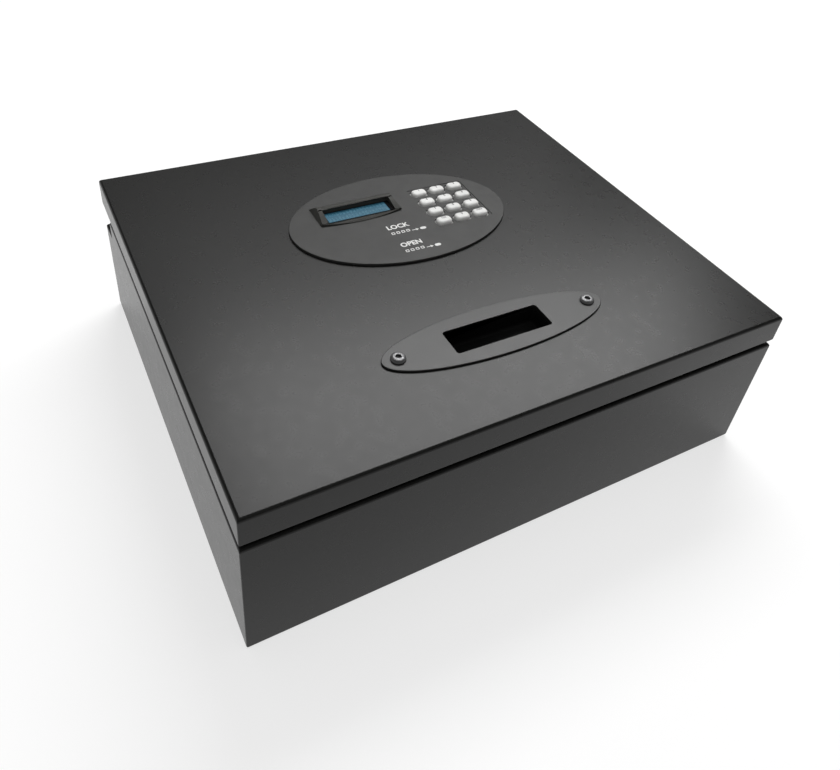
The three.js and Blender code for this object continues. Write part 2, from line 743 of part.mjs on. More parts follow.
// Display: a frame on its board, with the screen let into the frame's top
function screenOutline(grow) {
  const [x, y] = [windowLength / 2 - seat, windowDepth / 2 - seat];
  return rectangle(-x + screenBorder - grow, x - screenRightBorder + grow,
    -y + screenBorder - grow, y - screenBorder + grow);
}

function displayModule() {
  const [x, y] = [windowLength / 2 - seat, windowDepth / 2 - seat];
  const drop = moduleDrop + moduleBoard;
  const frame = block(-x, x, -y, y, -moduleDrop, 0)
    .subtract(prismZ(screenOutline(seat), -screenThickness - seat, past));
  const [boardHalfX, boardHalfY] = [x + moduleMargin, y + moduleMargin];
  const board = block(-boardHalfX, boardHalfX, -boardHalfY, boardHalfY, -drop, -moduleDrop);
  return mesh('display_module', frame.add(board), darkMoulded, hoodX, windowY, screenZ);
}

function displayScreen() {
  const screen = prismZ(screenOutline(0), -screenThickness, 0);
  return mesh('display_screen', screen, screenBlue, hoodX, windowY, screenZ);
}

// Keys: a crowned pill cap, a collar that the plate holds down and a stem
function keyCap(name, x, y) {
  const collar = -keyFlangeHeight;
  const top = plateSeatZ + consoleThickness + keyProud - keyFlangeTop;
  const cap = pillStack(keyLength, keyBreadth, [
    [collar, keyFlange], [0, keyFlange], [0, 0], [top - keyEdge, 0], [top, -keyEdge],
  ]);
  const [stemX, stemY] = [keyStemLength / 2, keyStemBreadth / 2];
  const stem = block(-stemX, stemX, -stemY, stemY, collar - keyStemHeight, collar / 2);
  return mesh(name, cap.add(stem), keyWhite, x, y, keyFlangeTop);
}

function keyNames() {
  return ['key_1', 'key_2', 'key_3', 'key_4', 'key_5', 'key_6', 'key_7', 'key_8', 'key_9',
    'key_clear', 'key_0', 'key_lock'];
}

function keyMat() {
  const pad = padOpening();
  const [x, y] = [pad.x + keyMatMargin, pad.y + keyMatMargin];
  const high = lidUnder - seat;
  const low = padBoardTop + seat;
  const [pocketX, pocketY] = [pad.x + keyMatPocket, pad.y + keyMatPocket];
  let mat = prismZ(rectangle(-x, x, -y, y, padCorner), low, high)
    .subtract(block(-pocketX, pocketX, -pocketY, pocketY, keyMatTop, high + past));
  const [wellX, wellY] = [keyStemLength / 2 + keyClearance, keyStemBreadth / 2 + keyClearance];
  for (const [keyX, keyY] of keyPlaces()) {
    const [dx, dy] = [keyX - keypadX, keyY - keypadY];
    mat = mat.subtract(block(dx - wellX, dx + wellX, dy - wellY, dy + wellY, low - past, high));
  }
  return mesh('key_mat', mat, silicone, keypadX, keypadY, 0);
}

function keypadBoard() {
  const pad = padOpening();
  const [x, y] = [pad.x + keyMatMargin, pad.y + keyMatMargin];
  const board = prismZ(rectangle(-x, x, -y, y, boardCorner), -boardThickness, 0);
  return mesh('keypad_board', board, circuit, keypadX, keypadY, padBoardTop);
}

// Finger pull: oval plate, cup, two screws and their nuts, drawn round the slot's centre
function handlePlate() {
  let plate = ovalPlate(handleLength, handleBreadth, handleThickness, 52)
    .subtract(prismZ(pullOpening(), -past, handleThickness + past).translate([0, -handleY, 0]));
  for (const side of [-1, 1]) {
    const radius = (screwDiameter + screwClearance) / 2;
    plate = plate.subtract(rodZ(side * handleScrewPitch / 2, 0, radius, -past, handleThickness + past, 20));
  }
  return mesh('handle_plate', plate, plated, 0, handleY, plateSeatZ);
}

function pullCup() {
  const top = lidUnder - seat;
  const floor = handleTop - pullDepth;
  const [x, rear] = [pullLength / 2, pullBreadth / 2];
  const front = -rear - pullUndercut;
  const flangeX = handleScrewPitch / 2 + nutAcross;
  const flangeY = cupFlangeBreadth / 2;
  const middle = (front + rear) / 2;
  const flange = rectangle(-flangeX, flangeX, middle - flangeY, middle + flangeY, cupFlangeCorner);
  const wall = cupSheet;
  const outer = rectangle(-x - wall, x + wall, front - wall, rear + wall, cupCorner);
  const inner = rectangle(-x, x, front, rear, cupCorner - wall);
  let cup = prismZ(flange, top - wall, top, 3)
    .add(prismZ(outer, floor - wall, top - wall / 2))
    .subtract(prismZ(inner, floor, top + past));
  for (const side of [-1, 1]) {
    const radius = (screwDiameter + screwClearance) / 2;
    cup = cup.subtract(rodZ(side * handleScrewPitch / 2, 0, radius, top - wall - past, top + past, 20));
  }
  return mesh('pull_cup', cup, darkMoulded, 0, handleY, 0);
}

function handleScrew(name, x) {
  const [shank, head] = [screwDiameter / 2, screwHead / 2];
  const crown = head / 2;
  const dome = [
    [0, -screwLength], [shank - screwChamfer, -screwLength], [shank, -screwLength + screwChamfer],
    [shank, 0], [head, 0],
  ];
  for (let i = 0; i <= 3; i++) {
    const angle = i / 3 * Math.PI / 2;
    const height = screwRim + (screwHeadHeight - screwRim) * Math.sin(angle);
    dome.push([head - crown + crown * Math.cos(angle), height]);
  }
  dome.push([0, screwHeadHeight]);
  const socketRadius = screwSocket / Math.sqrt(3);
  const socket = rodZ(0, 0, socketRadius, screwHeadHeight - screwSocketDepth, screwHeadHeight + past, 6);
  return mesh(name, solid(turned(dome, 20)).subtract(socket), blackSteel, x, handleY, handleTop + seat);
}

function hexNut(name, across, height, bore, x, y, top) {
  const nut = rodZ(0, 0, across / Math.sqrt(3), -height, 0, 6)
    .subtract(rodZ(0, 0, bore / 2, -height - past, past, 12));
  return mesh(name, nut, zinc, x, y, top);
}

// Lock housing: a deep moulded tray in front for the bolt work, a shallow one behind for boards and cells
function bayBox(grow) {
  const [x, y] = [bayLength / 2 + grow, bayDepth / 2 + grow];
  return [bayX - x, bayX + x, bayY - y, bayY + y];
}

function standoffPlaces() {
  const [x, y] = [boardLength / 2 - standoffInset, boardBreadth / 2 - standoffInset];
  return [-1, 1].flatMap((sx) => [-1, 1].map((sy) => [boardX + sx * x, boardY + sy * y]));
}

// Pillars that press the keypad board and the display board up under the console
function pillarPlaces() {
  const pad = padOpening();
  const pads = [-1, 1].flatMap((sx) => [-1, 1].map((sy) => (
    [keypadX + sx * pad.x, keypadY + sy * pad.y, padBoardTop - boardThickness])));
  const shows = [-1, 1].map((side) => (
    [hoodX + side * windowLength / 2, windowY, screenZ - moduleDrop - moduleBoard]));
  return [...pads, ...shows];
}

// An open tray with a flange along its top, the shape of both halves of the housing
function flangedTray(front, rear, bottom) {
  const [x, wall, corner] = [housingLength / 2, housingSheet, housingCorner];
  const outer = rectangle(-x, x, front, rear, corner);
  const inner = rectangle(-x + wall, x - wall, front + wall, rear - wall, corner - wall);
  const flange = rectangle(-x - housingFlange, x + housingFlange, front, rear, corner + wall);
  return prismZ(outer, bottom, housingTop)
    .add(prismZ(flange, housingTop - wall, housingTop))
    .subtract(prismZ(inner, bottom + wall, housingTop + past));
}

function drilledForStuds(tray) {
  const radius = studDiameter / 2 + studClearance;
  const [low, high] = [housingTop - housingSheet - past, housingTop + past];
  const holes = studPlaces().map(([x, y]) => rodZ(x, y, radius, low, high, 12));
  return tray.subtract(join(...holes));
}

function lockHousing() {
  let housing = join(flangedTray(housingFront, housingDeepRear, housingBottom), ...guideBosses());
  const boltRadius = (boltDiameter + boltHoleClearance) / 2;
  for (const side of [-1, 1]) {
    const [front, rear] = [housingFront - past, housingFront + housingSheet + past];
    housing = housing.subtract(rodY(side * boltSpacing / 2, boltZ, boltRadius, front, rear, 24));
  }
  return mesh('lock_housing', drilledForStuds(housing), darkMoulded);
}

function boardHousing() {
  const tray = flangedTray(housingDeepRear + seat, housingRear, shallowBottom);
  const [left, right, front, rear] = bayBox(0);
  const housing = join(tray, batteryBay(), ...boardBosses())
    .subtract(block(left, right, front, rear, shallowBottom - past, bayTop))
    .add(doorRails());
  return mesh('board_housing', drilledForStuds(housing), darkMoulded);
}

function batteryBay() {
  const [left, right, front, rear] = bayBox(bayWall);
  return block(left, right, front, rear, shallowFloorTop - past, bayTop + bayWall);
}

function guideBosses() {
  return guidePlaces().map((y) => (
    rodZ(guideX, y, guideHead / 2, housingFloorTop - past, plateBottom - seat, 16)
      .subtract(rodZ(guideX, y, (guideShank + guidePilot) / 2, housingFloorTop, plateBottom, 12))));
}

function boardBosses() {
  const radius = standoffDiameter / 2;
  const boards = standoffPlaces().map(([x, y]) => (
    rodZ(x, y, radius, shallowFloorTop - past, shallowFloorTop + boardStandoff, 6)));
  const pillars = pillarPlaces().map(([x, y, top]) => (
    rodZ(x, y, radius, shallowFloorTop - past, top - seat, 6)));
  return [...boards, ...pillars];
}

function doorRails() {
  const [left, right, front, rear] = bayBox(doorOverlap);
  const depth = doorThickness + 2 * seat;
  const rails = [[left, -1], [right, 1]].map(([edge, side]) => {
    const outer = edge + side * (seat + railWall);
    const inner = edge - side * railLip;
    const near = edge + side * seat;
    const wall = block(Math.min(near, outer), Math.max(near, outer), front, rear,
      shallowBottom - depth - railWall / 2, shallowBottom + past);
    const lip = block(Math.min(inner, outer), Math.max(inner, outer), front, rear,
      shallowBottom - depth - railWall, shallowBottom - depth);
    return wall.add(lip);
  });
  return join(...rails);
}

// Battery door, cells and contacts
function batteryDoor() {
  const [left, right, front, rear] = bayBox(doorOverlap);
  const [x, y] = [(right - left) / 2, (rear - front) / 2];
  let door = prismZ(rectangle(-x, x, -y, y, bayWall), -doorThickness, 0);
  const [gripX, half] = [gripLength / 2, gripWidth / 2];
  for (let i = 0; i < gripGrooves; i++) {
    const grooveY = y - gripInset - i * gripPitch;
    const [low, high] = [-doorThickness - past, -doorThickness + gripDepth];
    door = door.subtract(block(-gripX, gripX, grooveY - half, grooveY + half, low, high));
  }
  return mesh('battery_door', door, darkMoulded, bayX, bayY, shallowBottom - seat);
}

function cell(name, i) {
  const radius = cellDiameter / 2;
  const half = cellLength / 2;
  const profile = [
    [0, -half], [radius - cellCrimp, -half], [radius, -half + cellCrimp], [radius, half - cellCrimp],
    [radius - cellCrimp, half],
    [cellNub / 2, half], [cellNub / 2, half + cellNubHeight], [0, half + cellNubHeight],
  ];
  const turn = i % 2 === 0 ? -1 : 1;
  const body = solid(turned(profile, 14).rotateX(turn * Math.PI / 2));
  const x = bayX + (i - (cellCount - 1) / 2) * cellPitch;
  return mesh(name, body, cellJacket, x, bayY, shallowBottom + cellDiameter / 2);
}

function contactStrip(name, side) {
  const x = bayLength / 2 - seat;
  const z = cellDiameter / 2 - contactInset;
  const y = side * (bayDepth / 2 - seat - contactSheet / 2);
  const half = contactSheet / 2;
  let strip = block(-x, x, -half, half, -z, z);
  for (let i = 0; i < cellCount; i++) {
    if ((i % 2 === 0 ? -1 : 1) !== side) continue; // springs press on the flat ends
    const reach = [0, -side * (half + contactSpring)].sort((a, b) => a - b);
    strip = strip.add(rodY((i - (cellCount - 1) / 2) * cellPitch, 0, cellNub / 2, ...reach, 12));
  }
  return mesh(name, strip, zinc, bayX, bayY + y, shallowBottom + cellDiameter / 2);
}

// Boards
function mainBoard() {
  const [x, y] = [boardLength / 2, boardBreadth / 2];
  const face = boardThickness - solderDepth;
  const part = (left, front, length, breadth, height) => (
    block(left, left + length, front, front + breadth, face, boardThickness + height));
  const clear = standoffInset + standoffDiameter / 2 + partInset;
  const chip = part(-chipLength / 2, -chipBreadth / 2, chipLength, chipBreadth, chipHeight);
  const relay = part(x - clear - relayLength, -y + partInset, relayLength, relayBreadth, relayHeight);
  const plugs = [-x + clear, x - clear - plugLength].map((left) => (
    part(left, y - partInset - plugBreadth, plugLength, plugBreadth, plugHeight)));
  const cans = [0, 1].map((i) => (
    rodZ(-x + clear + canDiameter / 2 + i * canPitch, -y + partInset + canDiameter / 2, canDiameter / 2,
      face, boardThickness + canHeight, 14)));
  const plate = prismZ(rectangle(-x, x, -y, y, boardCorner), 0, boardThickness);
  const board = join(plate, chip, relay, ...plugs, ...cans);
  return mesh('main_board', board, circuit, boardX, boardY, shallowFloorTop + boardStandoff + seat);
}

// Bolt work: rack plate, bolts, guides, pinion, motor and its bracket
function guidePlaces() {
  return [0, 1].map((i) => crossbarRear + guideFirst + i * guidePitch);
}

// Straight-sided rack teeth along Y, one gap centred on the pinion's line
function rackTeethOutline() {
  const [addendum, dedendum] = [gearModule, toothDepth * gearModule];
  const lean = Math.tan(pressureAngle);
  const half = toothPitch / 4 - gearBacklash / 2;
  const points = [];
  for (let i = 0; i < rackTeeth; i++) {
    const y = pinionY + (i - Math.round((pinionY - rackFront) / toothPitch)) * toothPitch + toothPitch / 2;
    const [root, tip] = [rackX - dedendum, rackX + addendum];
    points.push([root, y - half - dedendum * lean], [tip, y - half + addendum * lean]);
    points.push([tip, y + half - addendum * lean], [root, y + half + dedendum * lean]);
  }
  return points;
}

function boltBar() {
  const teeth = rackTeethOutline();
  const barX = boltSpacing / 2 + crossbarEnd;
  const root = rackX - toothDepth * gearModule;
  const armRear = teeth.at(-1)[1] + rackTail;
  const tongue = (side) => {
    const [x, half] = [side * boltSpacing / 2, tongueWidth / 2];
    const front = crossbarFront - tongueLength;
    return block(x - half, x + half, front, crossbarFront + past, plateBottom, plateTop);
  };
  const arm = outline([
    [root, crossbarRear - past], ...teeth, [root, armRear, plateCorner], [armLeft, armRear, plateCorner],
    [armLeft, crossbarRear - past],
  ]);
  let bar = prismZ(rectangle(-barX, barX, crossbarFront, crossbarRear, plateCorner), plateBottom, plateTop)
    .add(prismZ(arm, plateBottom, plateTop));
  bar = join(bar, tongue(-1), tongue(1));
  for (const y of guidePlaces()) {
    const guideSlot = slot(guideX, y, y + boltTravel, guideShank + guideClearance);
    bar = bar.subtract(prismZ(guideSlot, plateBottom - past, plateTop + past, 3));
  }
  return mesh('bolt_bar', bar, zinc);
}

function lockingBolt(name, side) {
  const radius = boltDiameter / 2;
  const profile = [
    [0, 0], [radius, 0], [radius, boltLength - boltChamfer], [radius - boltChamfer, boltLength],
    [0, boltLength],
  ];
  const bolt = solid(turned(profile, 24).rotateX(Math.PI / 2).translate(0, boltLength, 0))
    .subtract(block(-tongueWidth / 2 - seat, tongueWidth / 2 + seat, boltLength - tongueLength - seat,
      boltLength + past, -plateThickness / 2 - seat, plateThickness / 2 + seat));
  return mesh(name, bolt, zinc, side * boltSpacing / 2, boltTip, boltZ);
}

function guideScrew(name, y) {
  const [shank, head] = [guideShank / 2, guideHead / 2];
  const [low, high] = [housingFloorTop + guideFloorGap - plateTop, 2 * seat];
  const top = high + guideHeadHeight;
  const profile = [
    [0, low], [shank, low], [shank, high], [head, high], [head, top - guideHeadRound],
    [head - guideHeadRound, top], [0, top],
  ];
  const socket = rodZ(0, 0, guideSocket / Math.sqrt(3), top - guideSocketDepth, top + past, 6);
  return mesh(name, solid(turned(profile, 16)).subtract(socket), blackSteel, guideX, y, plateTop);
}

// Involute pinion: flanks from the base circle, straight below it
function pinionOutline() {
  const base = pitchRadius * Math.cos(pressureAngle);
  const tip = pitchRadius + gearModule;
  const root = pitchRadius - toothDepth * gearModule;
  const involute = (angle) => Math.tan(angle) - angle;
  const halfTooth = (toothPitch / 2 - gearBacklash) / 2 / pitchRadius;
  const offset = (radius) => halfTooth + involute(pressureAngle) - involute(Math.acos(base / radius));
  const steps = 3;
  const shape = new THREE.Shape();
  const point = (radius, angle) => {
    const [x, y] = [radius * Math.cos(angle), radius * Math.sin(angle)];
    if (shape.curves.length === 0 && shape.currentPoint.lengthSq() === 0) shape.moveTo(x, y);
    else shape.lineTo(x, y);
  };
  for (let i = 0; i < pinionTeeth; i++) {
    const middle = Math.PI + i * 2 * Math.PI / pinionTeeth;
    const radii = Array.from({ length: steps + 1 }, (_, k) => base + (tip - base) * k / steps);
    point(root, middle - offset(base));
    radii.forEach((radius) => point(radius, middle - offset(radius)));
    radii.reverse().forEach((radius) => point(radius, middle + offset(radius)));
    point(root, middle + offset(base));
  }
  shape.closePath();
  return shape;
}

function drivePinion() {
  const pinion = prismZ(pinionOutline(), 0, pinionHeight)
    .subtract(rodZ(0, 0, (shaftDiameter + shaftClearance) / 2, -past, pinionHeight + past, 16));
  return mesh('drive_pinion', pinion, nylon, pinionX, pinionY, boltZ - pinionHeight / 2);
}

function motorBracket() {
  const low = plateTop + bracketGap;
  const high = low + bracketSheet;
  const [left, right] = [armLeft - bracketSide, pinionX + pitchRadius + gearModule + bracketSide];
  const arch = outline([
    [left - bracketSheet, housingFloorTop + seat], [left, housingFloorTop + seat], [left, low],
    [right, low], [right, housingFloorTop + seat], [right + bracketSheet, housingFloorTop + seat],
    [right + bracketSheet, high, bracketSheet], [left - bracketSheet, high, bracketSheet],
  ]);
  const half = bracketDepth / 2;
  const bracket = prismY(arch, pinionY - half, pinionY + half)
    .subtract(rodZ(pinionX, pinionY, motorBoss / 2 + seat, low - past, high + past, 20));
  return mesh('motor_bracket', bracket, zinc);
}

function gearMotor() {
  const low = plateTop + bracketGap + bracketSheet + seat;
  const shaftEnd = boltZ - pinionHeight / 2 - low;
  const [radius, boss, shaft, can] = [motorDiameter / 2, motorBoss / 2, shaftDiameter / 2, motorCan / 2];
  const profile = [
    [0, shaftEnd], [shaft, shaftEnd], [shaft, -motorBossHeight], [boss, -motorBossHeight], [boss, 0],
    [radius, 0], [radius, gearboxHeight], [can, gearboxHeight], [can, motorHeight - motorRound],
    [can - motorRound, motorHeight], [0, motorHeight],
  ];
  return mesh('gear_motor', solid(turned(profile, 18)), zinc, pinionX, pinionY, low);
}

// Assembly
const safe = new THREE.Group();
const body = new THREE.Group();
const lid = new THREE.Group();
const consolePieces = new THREE.Group();
const handle = new THREE.Group();
const lock = new THREE.Group();
safe.add(body, lid);
lid.add(consolePieces, handle, lock);

body.add(bodyShell(), floorMat());
lid.add(lidShell());
for (const [side, word] of [[-1, 'left'], [1, 'right']]) {
  const hingeX = side * (boxWidth / 2 - hingeInset);
  const [bumperX, bumperY] = bumperPlaces()[side < 0 ? 0 : 1];
  body.add(bumper(`lid_bumper_${word}`, bumperX, bumperY), clevis(`hinge_clevis_${word}`, hingeX));
  lid.add(lidArm(`hinge_arm_${word}`, hingeX), hingePinPiece(`hinge_pin_${word}`, hingeX, side));
  const screwX = side * handleScrewPitch / 2;
  const nutTop = lidUnder - 2 * seat - cupSheet;
  handle.add(handleScrew(`handle_screw_${word}`, screwX));
  handle.add(hexNut(`handle_nut_${word}`, nutAcross, nutHeight, screwDiameter + screwClearance,
    screwX, handleY, nutTop));
  lock.add(lockingBolt(`locking_bolt_${word}`, side));
}
consolePieces.add(consolePlate(), displayHood(), displayModule(), displayScreen(), keyMat(), keypadBoard());
keyPlaces().forEach(([x, y], i) => consolePieces.add(keyCap(keyNames()[i], x, y)));
handle.add(handlePlate(), pullCup());
lock.add(lockHousing(), boltBar(), drivePinion(), motorBracket(), gearMotor());
lock.add(boardHousing(), mainBoard(), batteryDoor());
guidePlaces().forEach((y, i) => lock.add(guideScrew(`guide_screw_${i + 1}`, y)));
studPlaces().forEach(([x, y], i) => {
  const top = housingTop - housingSheet - seat;
  const bore = studDiameter + studClearance;
  lock.add(hexNut(`housing_nut_${i + 1}`, studNutAcross, studNutHeight, bore, x, y, top));
});
for (let i = 0; i < cellCount; i++) lock.add(cell(`battery_${i + 1}`, i));
lock.add(contactStrip('battery_contact_front', -1), contactStrip('battery_contact_rear', 1));

export default safe;
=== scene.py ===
import json
import logging
import math
from collections.abc import Callable, Iterator, Sequence
from contextlib import contextmanager
from dataclasses import dataclass
from enum import Enum

import bmesh
import bpy
from mathutils import Matrix, Vector

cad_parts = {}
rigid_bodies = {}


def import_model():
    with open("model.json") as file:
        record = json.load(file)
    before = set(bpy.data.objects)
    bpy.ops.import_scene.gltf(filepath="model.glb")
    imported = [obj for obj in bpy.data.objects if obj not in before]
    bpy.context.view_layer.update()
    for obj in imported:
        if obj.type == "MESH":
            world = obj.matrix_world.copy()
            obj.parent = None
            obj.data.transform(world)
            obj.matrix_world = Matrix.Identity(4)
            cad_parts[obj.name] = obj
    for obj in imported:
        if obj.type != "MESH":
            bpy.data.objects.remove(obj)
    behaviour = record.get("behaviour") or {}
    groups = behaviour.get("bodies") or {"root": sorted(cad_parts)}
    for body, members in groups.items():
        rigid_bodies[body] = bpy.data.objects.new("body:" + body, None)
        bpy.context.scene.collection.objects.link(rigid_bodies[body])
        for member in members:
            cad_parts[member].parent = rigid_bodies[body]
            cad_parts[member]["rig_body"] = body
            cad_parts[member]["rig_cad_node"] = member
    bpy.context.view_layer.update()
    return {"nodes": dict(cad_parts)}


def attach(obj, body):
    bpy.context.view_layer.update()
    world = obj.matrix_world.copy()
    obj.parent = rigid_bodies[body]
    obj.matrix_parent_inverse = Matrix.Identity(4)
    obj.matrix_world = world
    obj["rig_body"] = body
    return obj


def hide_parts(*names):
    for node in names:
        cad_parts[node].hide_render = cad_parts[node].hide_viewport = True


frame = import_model()

MM = 0.001
log = logging.getLogger("electronic_safe")

Piece = bpy.types.Object
Place = Sequence[float]
Colour = tuple[float, float, float]
Test = Callable[[object], bool]

# Sizes that several sub-assemblies share, in millimetres

HINGE_PIVOT = (150.0, 158.0, 112.5)
HINGE_EYE = 6.0
PIN_BORE = 3.25
PULL_MIDDLE = -104.0
PULL_SLOT = (38.25, 11.0, 2.0)
PULL_SCREW_X = 76.5
SCREW_HOLE = 3.3
STUD_HOLE = 2.4
STUD_X = 101.0
STUD_ROWS = (-131.0, 65.0)
BOLT_X = 70.0
BOLT_HEIGHT = 94.5
GUIDE_PLACES = ((-3.0, -110.0), (-3.0, -80.0))

# How far a cutting tool reaches past the face that it cuts

PAST = 1.0


class Kind(Enum):
    """Parts of an open mesh that can be selected."""

    CORNER = "VERT"
    EDGE = "EDGE"
    FACE = "FACE"


class Joining(Enum):
    """What a second solid does to the first."""

    CUT = "DIFFERENCE"
    UNITE = "UNION"
    KEEP = "INTERSECT"


class Side(Enum):
    """Left and right of the safe, seen from its front."""

    LEFT = -1
    RIGHT = 1

    @property
    def word(self) -> str:
        """The side's name in a piece's name."""
        return self.name.lower()


# Workbench

def only(piece: Piece) -> None:
    """Leaves one piece selected and active.

    Args:
        piece: The piece to work on.
    """
    bpy.ops.object.select_all(action="DESELECT")
    piece.select_set(True)
    bpy.context.view_layer.objects.active = piece


def settle(piece: Piece) -> Piece:
    """Puts a piece's place, turn and size into its mesh.

    Args:
        piece: The piece to settle.

    Returns:
        The same piece, its object at the origin.
    """
    only(piece)
    bpy.ops.object.transform_apply(location=True, rotation=True, scale=True)
    return piece


@contextmanager
def opened(piece: Piece) -> Iterator[None]:
    """Opens a piece in edit mode for the lines inside.

    Args:
        piece: The piece to open.
    """
    only(piece)
    bpy.ops.object.mode_set(mode="EDIT")
    yield
    bpy.ops.object.mode_set(mode="OBJECT")


def choose(piece: Piece, kind: Kind, test: Test) -> None:
    """Selects what passes a test in an open piece.

    Args:
        piece: The open piece.
        kind: Corners, edges or faces.
        test: True for each one to select.
    """
    bpy.ops.mesh.select_mode(type=kind.value)
    bpy.ops.mesh.select_all(action="DESELECT")
    shape = bmesh.from_edit_mesh(piece.data)
    parts = {Kind.CORNER: shape.verts, Kind.EDGE: shape.edges, Kind.FACE: shape.faces}
    for part in parts[kind]:
        if test(part):
            part.select_set(True)
    shape.select_flush_mode()
    bmesh.update_edit_mesh(piece.data)


def middle(part: object) -> Vector:
    """The middle of an edge or face, in millimetres."""
    return sum((corner.co for corner in part.verts), Vector()) / len(part.verts) / MM


def runs(edge: object, axis: int) -> bool:
    """True where an edge runs along axis 0, 1 or 2."""
    return abs((edge.verts[1].co - edge.verts[0].co).normalized()[axis]) > 0.999


def block(name: str, low: Place, high: Place) -> Piece:
    """Adds a block between two corners.

    Args:
        name: The piece's name.
        low: Lowest corner in millimetres.
        high: Highest corner in millimetres.

    Returns:
        The block, to be shaped further.
    """
    centre = [(a + b) / 2 * MM for a, b in zip(low, high)]
    size = [(b - a) * MM for a, b in zip(low, high)]
    bpy.ops.object.select_all(action="DESELECT")
    bpy.ops.mesh.primitive_cube_add(size=1, location=centre, scale=size)
    piece = bpy.context.active_object
    piece.name = piece.data.name = name
    return settle(piece)


def disc(name: str, centre: Place, radius: float, low: float, high: float,
         sides: int = 48) -> Piece:
    """Adds an upright round bar.

    Args:
        name: The piece's name.
        centre: Its axis, X and Y in millimetres.
        radius: Its radius.
        low: Height of its underside.
        high: Height of its top.
        sides: Number of facets round it.

    Returns:
        The bar, to be shaped further.
    """
    bpy.ops.object.select_all(action="DESELECT")
    bpy.ops.mesh.primitive_cylinder_add(
        vertices=sides, radius=radius * MM, depth=(high - low) * MM,
        location=(centre[0] * MM, centre[1] * MM, (low + high) / 2 * MM))
    piece = bpy.context.active_object
    piece.name = piece.data.name = name
    return settle(piece)


def round_edges(piece: Piece, test: Test, radius: float, steps: int = 6) -> Piece:
    """Rounds the chosen edges of a piece.

    Args:
        piece: The piece.
        test: True for each edge to round.
        radius: Radius in millimetres.
        steps: Facets across the round.

    Returns:
        The same piece.
    """
    with opened(piece):
        choose(piece, Kind.EDGE, test)
        bpy.ops.mesh.bevel(offset=radius * MM, offset_type="OFFSET", segments=steps,
                           profile=0.5, affect="EDGES", clamp_overlap=False)
        bpy.ops.mesh.select_all(action="SELECT")
        bpy.ops.mesh.remove_doubles(threshold=0.002 * MM)
    return piece


def combine(piece: Piece, tool: Piece, how: Joining) -> Piece:
    """Cuts, joins or trims one solid with another, which is used up.

    Args:
        piece: The solid that stays.
        tool: The solid that is used up.
        how: What the second does to the first.

    Returns:
        The first solid.
    """
    only(piece)
    change = piece.modifiers.new(how.name, "BOOLEAN")
    change.operation = how.value
    change.solver = "EXACT"
    change.object = tool
    bpy.ops.object.modifier_apply(modifier=change.name)
    bpy.data.objects.remove(tool, do_unlink=True)
    return piece


def soften(piece: Piece, width: float = 0.2, angle: float = 35.0, steps: int = 2) -> Piece:
    """Breaks the sharp edges and evens the shading of the flats.

    Args:
        piece: The piece.
        width: Width of the broken edge in millimetres, 0 for none.
        angle: Edges sharper than this many degrees are broken.
        steps: Facets across each broken edge.

    Returns:
        The same piece.
    """
    only(piece)
    if width:
        edges = piece.modifiers.new("broken_edges", "BEVEL")
        edges.width = width * MM
        edges.segments = steps
        edges.limit_method = "ANGLE"
        edges.angle_limit = math.radians(angle)
        edges.use_clamp_overlap = False
        bpy.ops.object.modifier_apply(modifier=edges.name)
    bpy.ops.object.shade_smooth_by_angle(angle=math.radians(angle))
    flats = piece.modifiers.new("even_flats", "WEIGHTED_NORMAL")
    flats.keep_sharp = True
    bpy.ops.object.modifier_apply(modifier=flats.name)
    return piece


def upright_block(name: str, low: Place, high: Place, radius: float, steps: int = 6) -> Piece:
    """A block with its four upright edges rounded.

    Args:
        name: The piece's name.
        low: Lowest corner.
        high: Highest corner.
        radius: Radius of the upright edges.
        steps: Facets across each of them.

    Returns:
        The block.
    """
    return round_edges(block(name, low, high), lambda edge: runs(edge, 2), radius, steps)


def pill(name: str, centre: Place, length: float, breadth: float, low: float, high: float) -> Piece:
    """An upright bar with a pill outline.

    Args:
        name: The piece's name.
        centre: Its middle, X and Y.
        length: Length along X.
        breadth: Breadth along Y.
        low: Height of its underside.
        high: Height of its top.

    Returns:
        The bar.
    """
    x, y, reach, half = centre[0], centre[1], length / 2, breadth / 2
    return upright_block(name, (x - reach, y - half, low), (x + reach, y + half, high), half, 12)


def turned(name: str, stations: Sequence[tuple[float, float]], centre: Place = (0, 0, 0),
           towards: Place = (0, 0, 1), sides: int = 48) -> Piece:
    """A turned piece, drawn out station by station from its first end.

    Args:
        name: The piece's name.
        stations: Height along the axis and radius of each station.
        centre: Where height 0 of the axis is.
        towards: The direction that height runs.
        sides: Number of facets round it.

    Returns:
        The turned piece.
    """
    height, radius = stations[0]
    bpy.ops.object.select_all(action="DESELECT")
    bpy.ops.mesh.primitive_circle_add(vertices=sides, radius=radius * MM, fill_type="NGON",
                                      location=(0, 0, height * MM))
    piece = bpy.context.active_object
    piece.name = piece.data.name = name
    settle(piece)
    with opened(piece):
        bpy.ops.mesh.select_mode(type="FACE")
        bpy.ops.mesh.select_all(action="SELECT")
        for next_height, next_radius in stations[1:]:
            rise = (next_height - height) * MM
            ratio = next_radius / radius
            bpy.ops.mesh.extrude_region_move(TRANSFORM_OT_translate={"value": (0, 0, rise)})
            bpy.ops.transform.resize(value=(ratio, ratio, 1),
                                     center_override=(0, 0, next_height * MM))
            height, radius = next_height, next_radius
        bpy.ops.mesh.select_all(action="SELECT")
        bpy.ops.mesh.normals_make_consistent(inside=False)
    piece.rotation_mode = "QUATERNION"
    piece.rotation_quaternion = Vector(towards).to_track_quat("Z", "Y")
    piece.location = [value * MM for value in centre]
    return settle(piece)


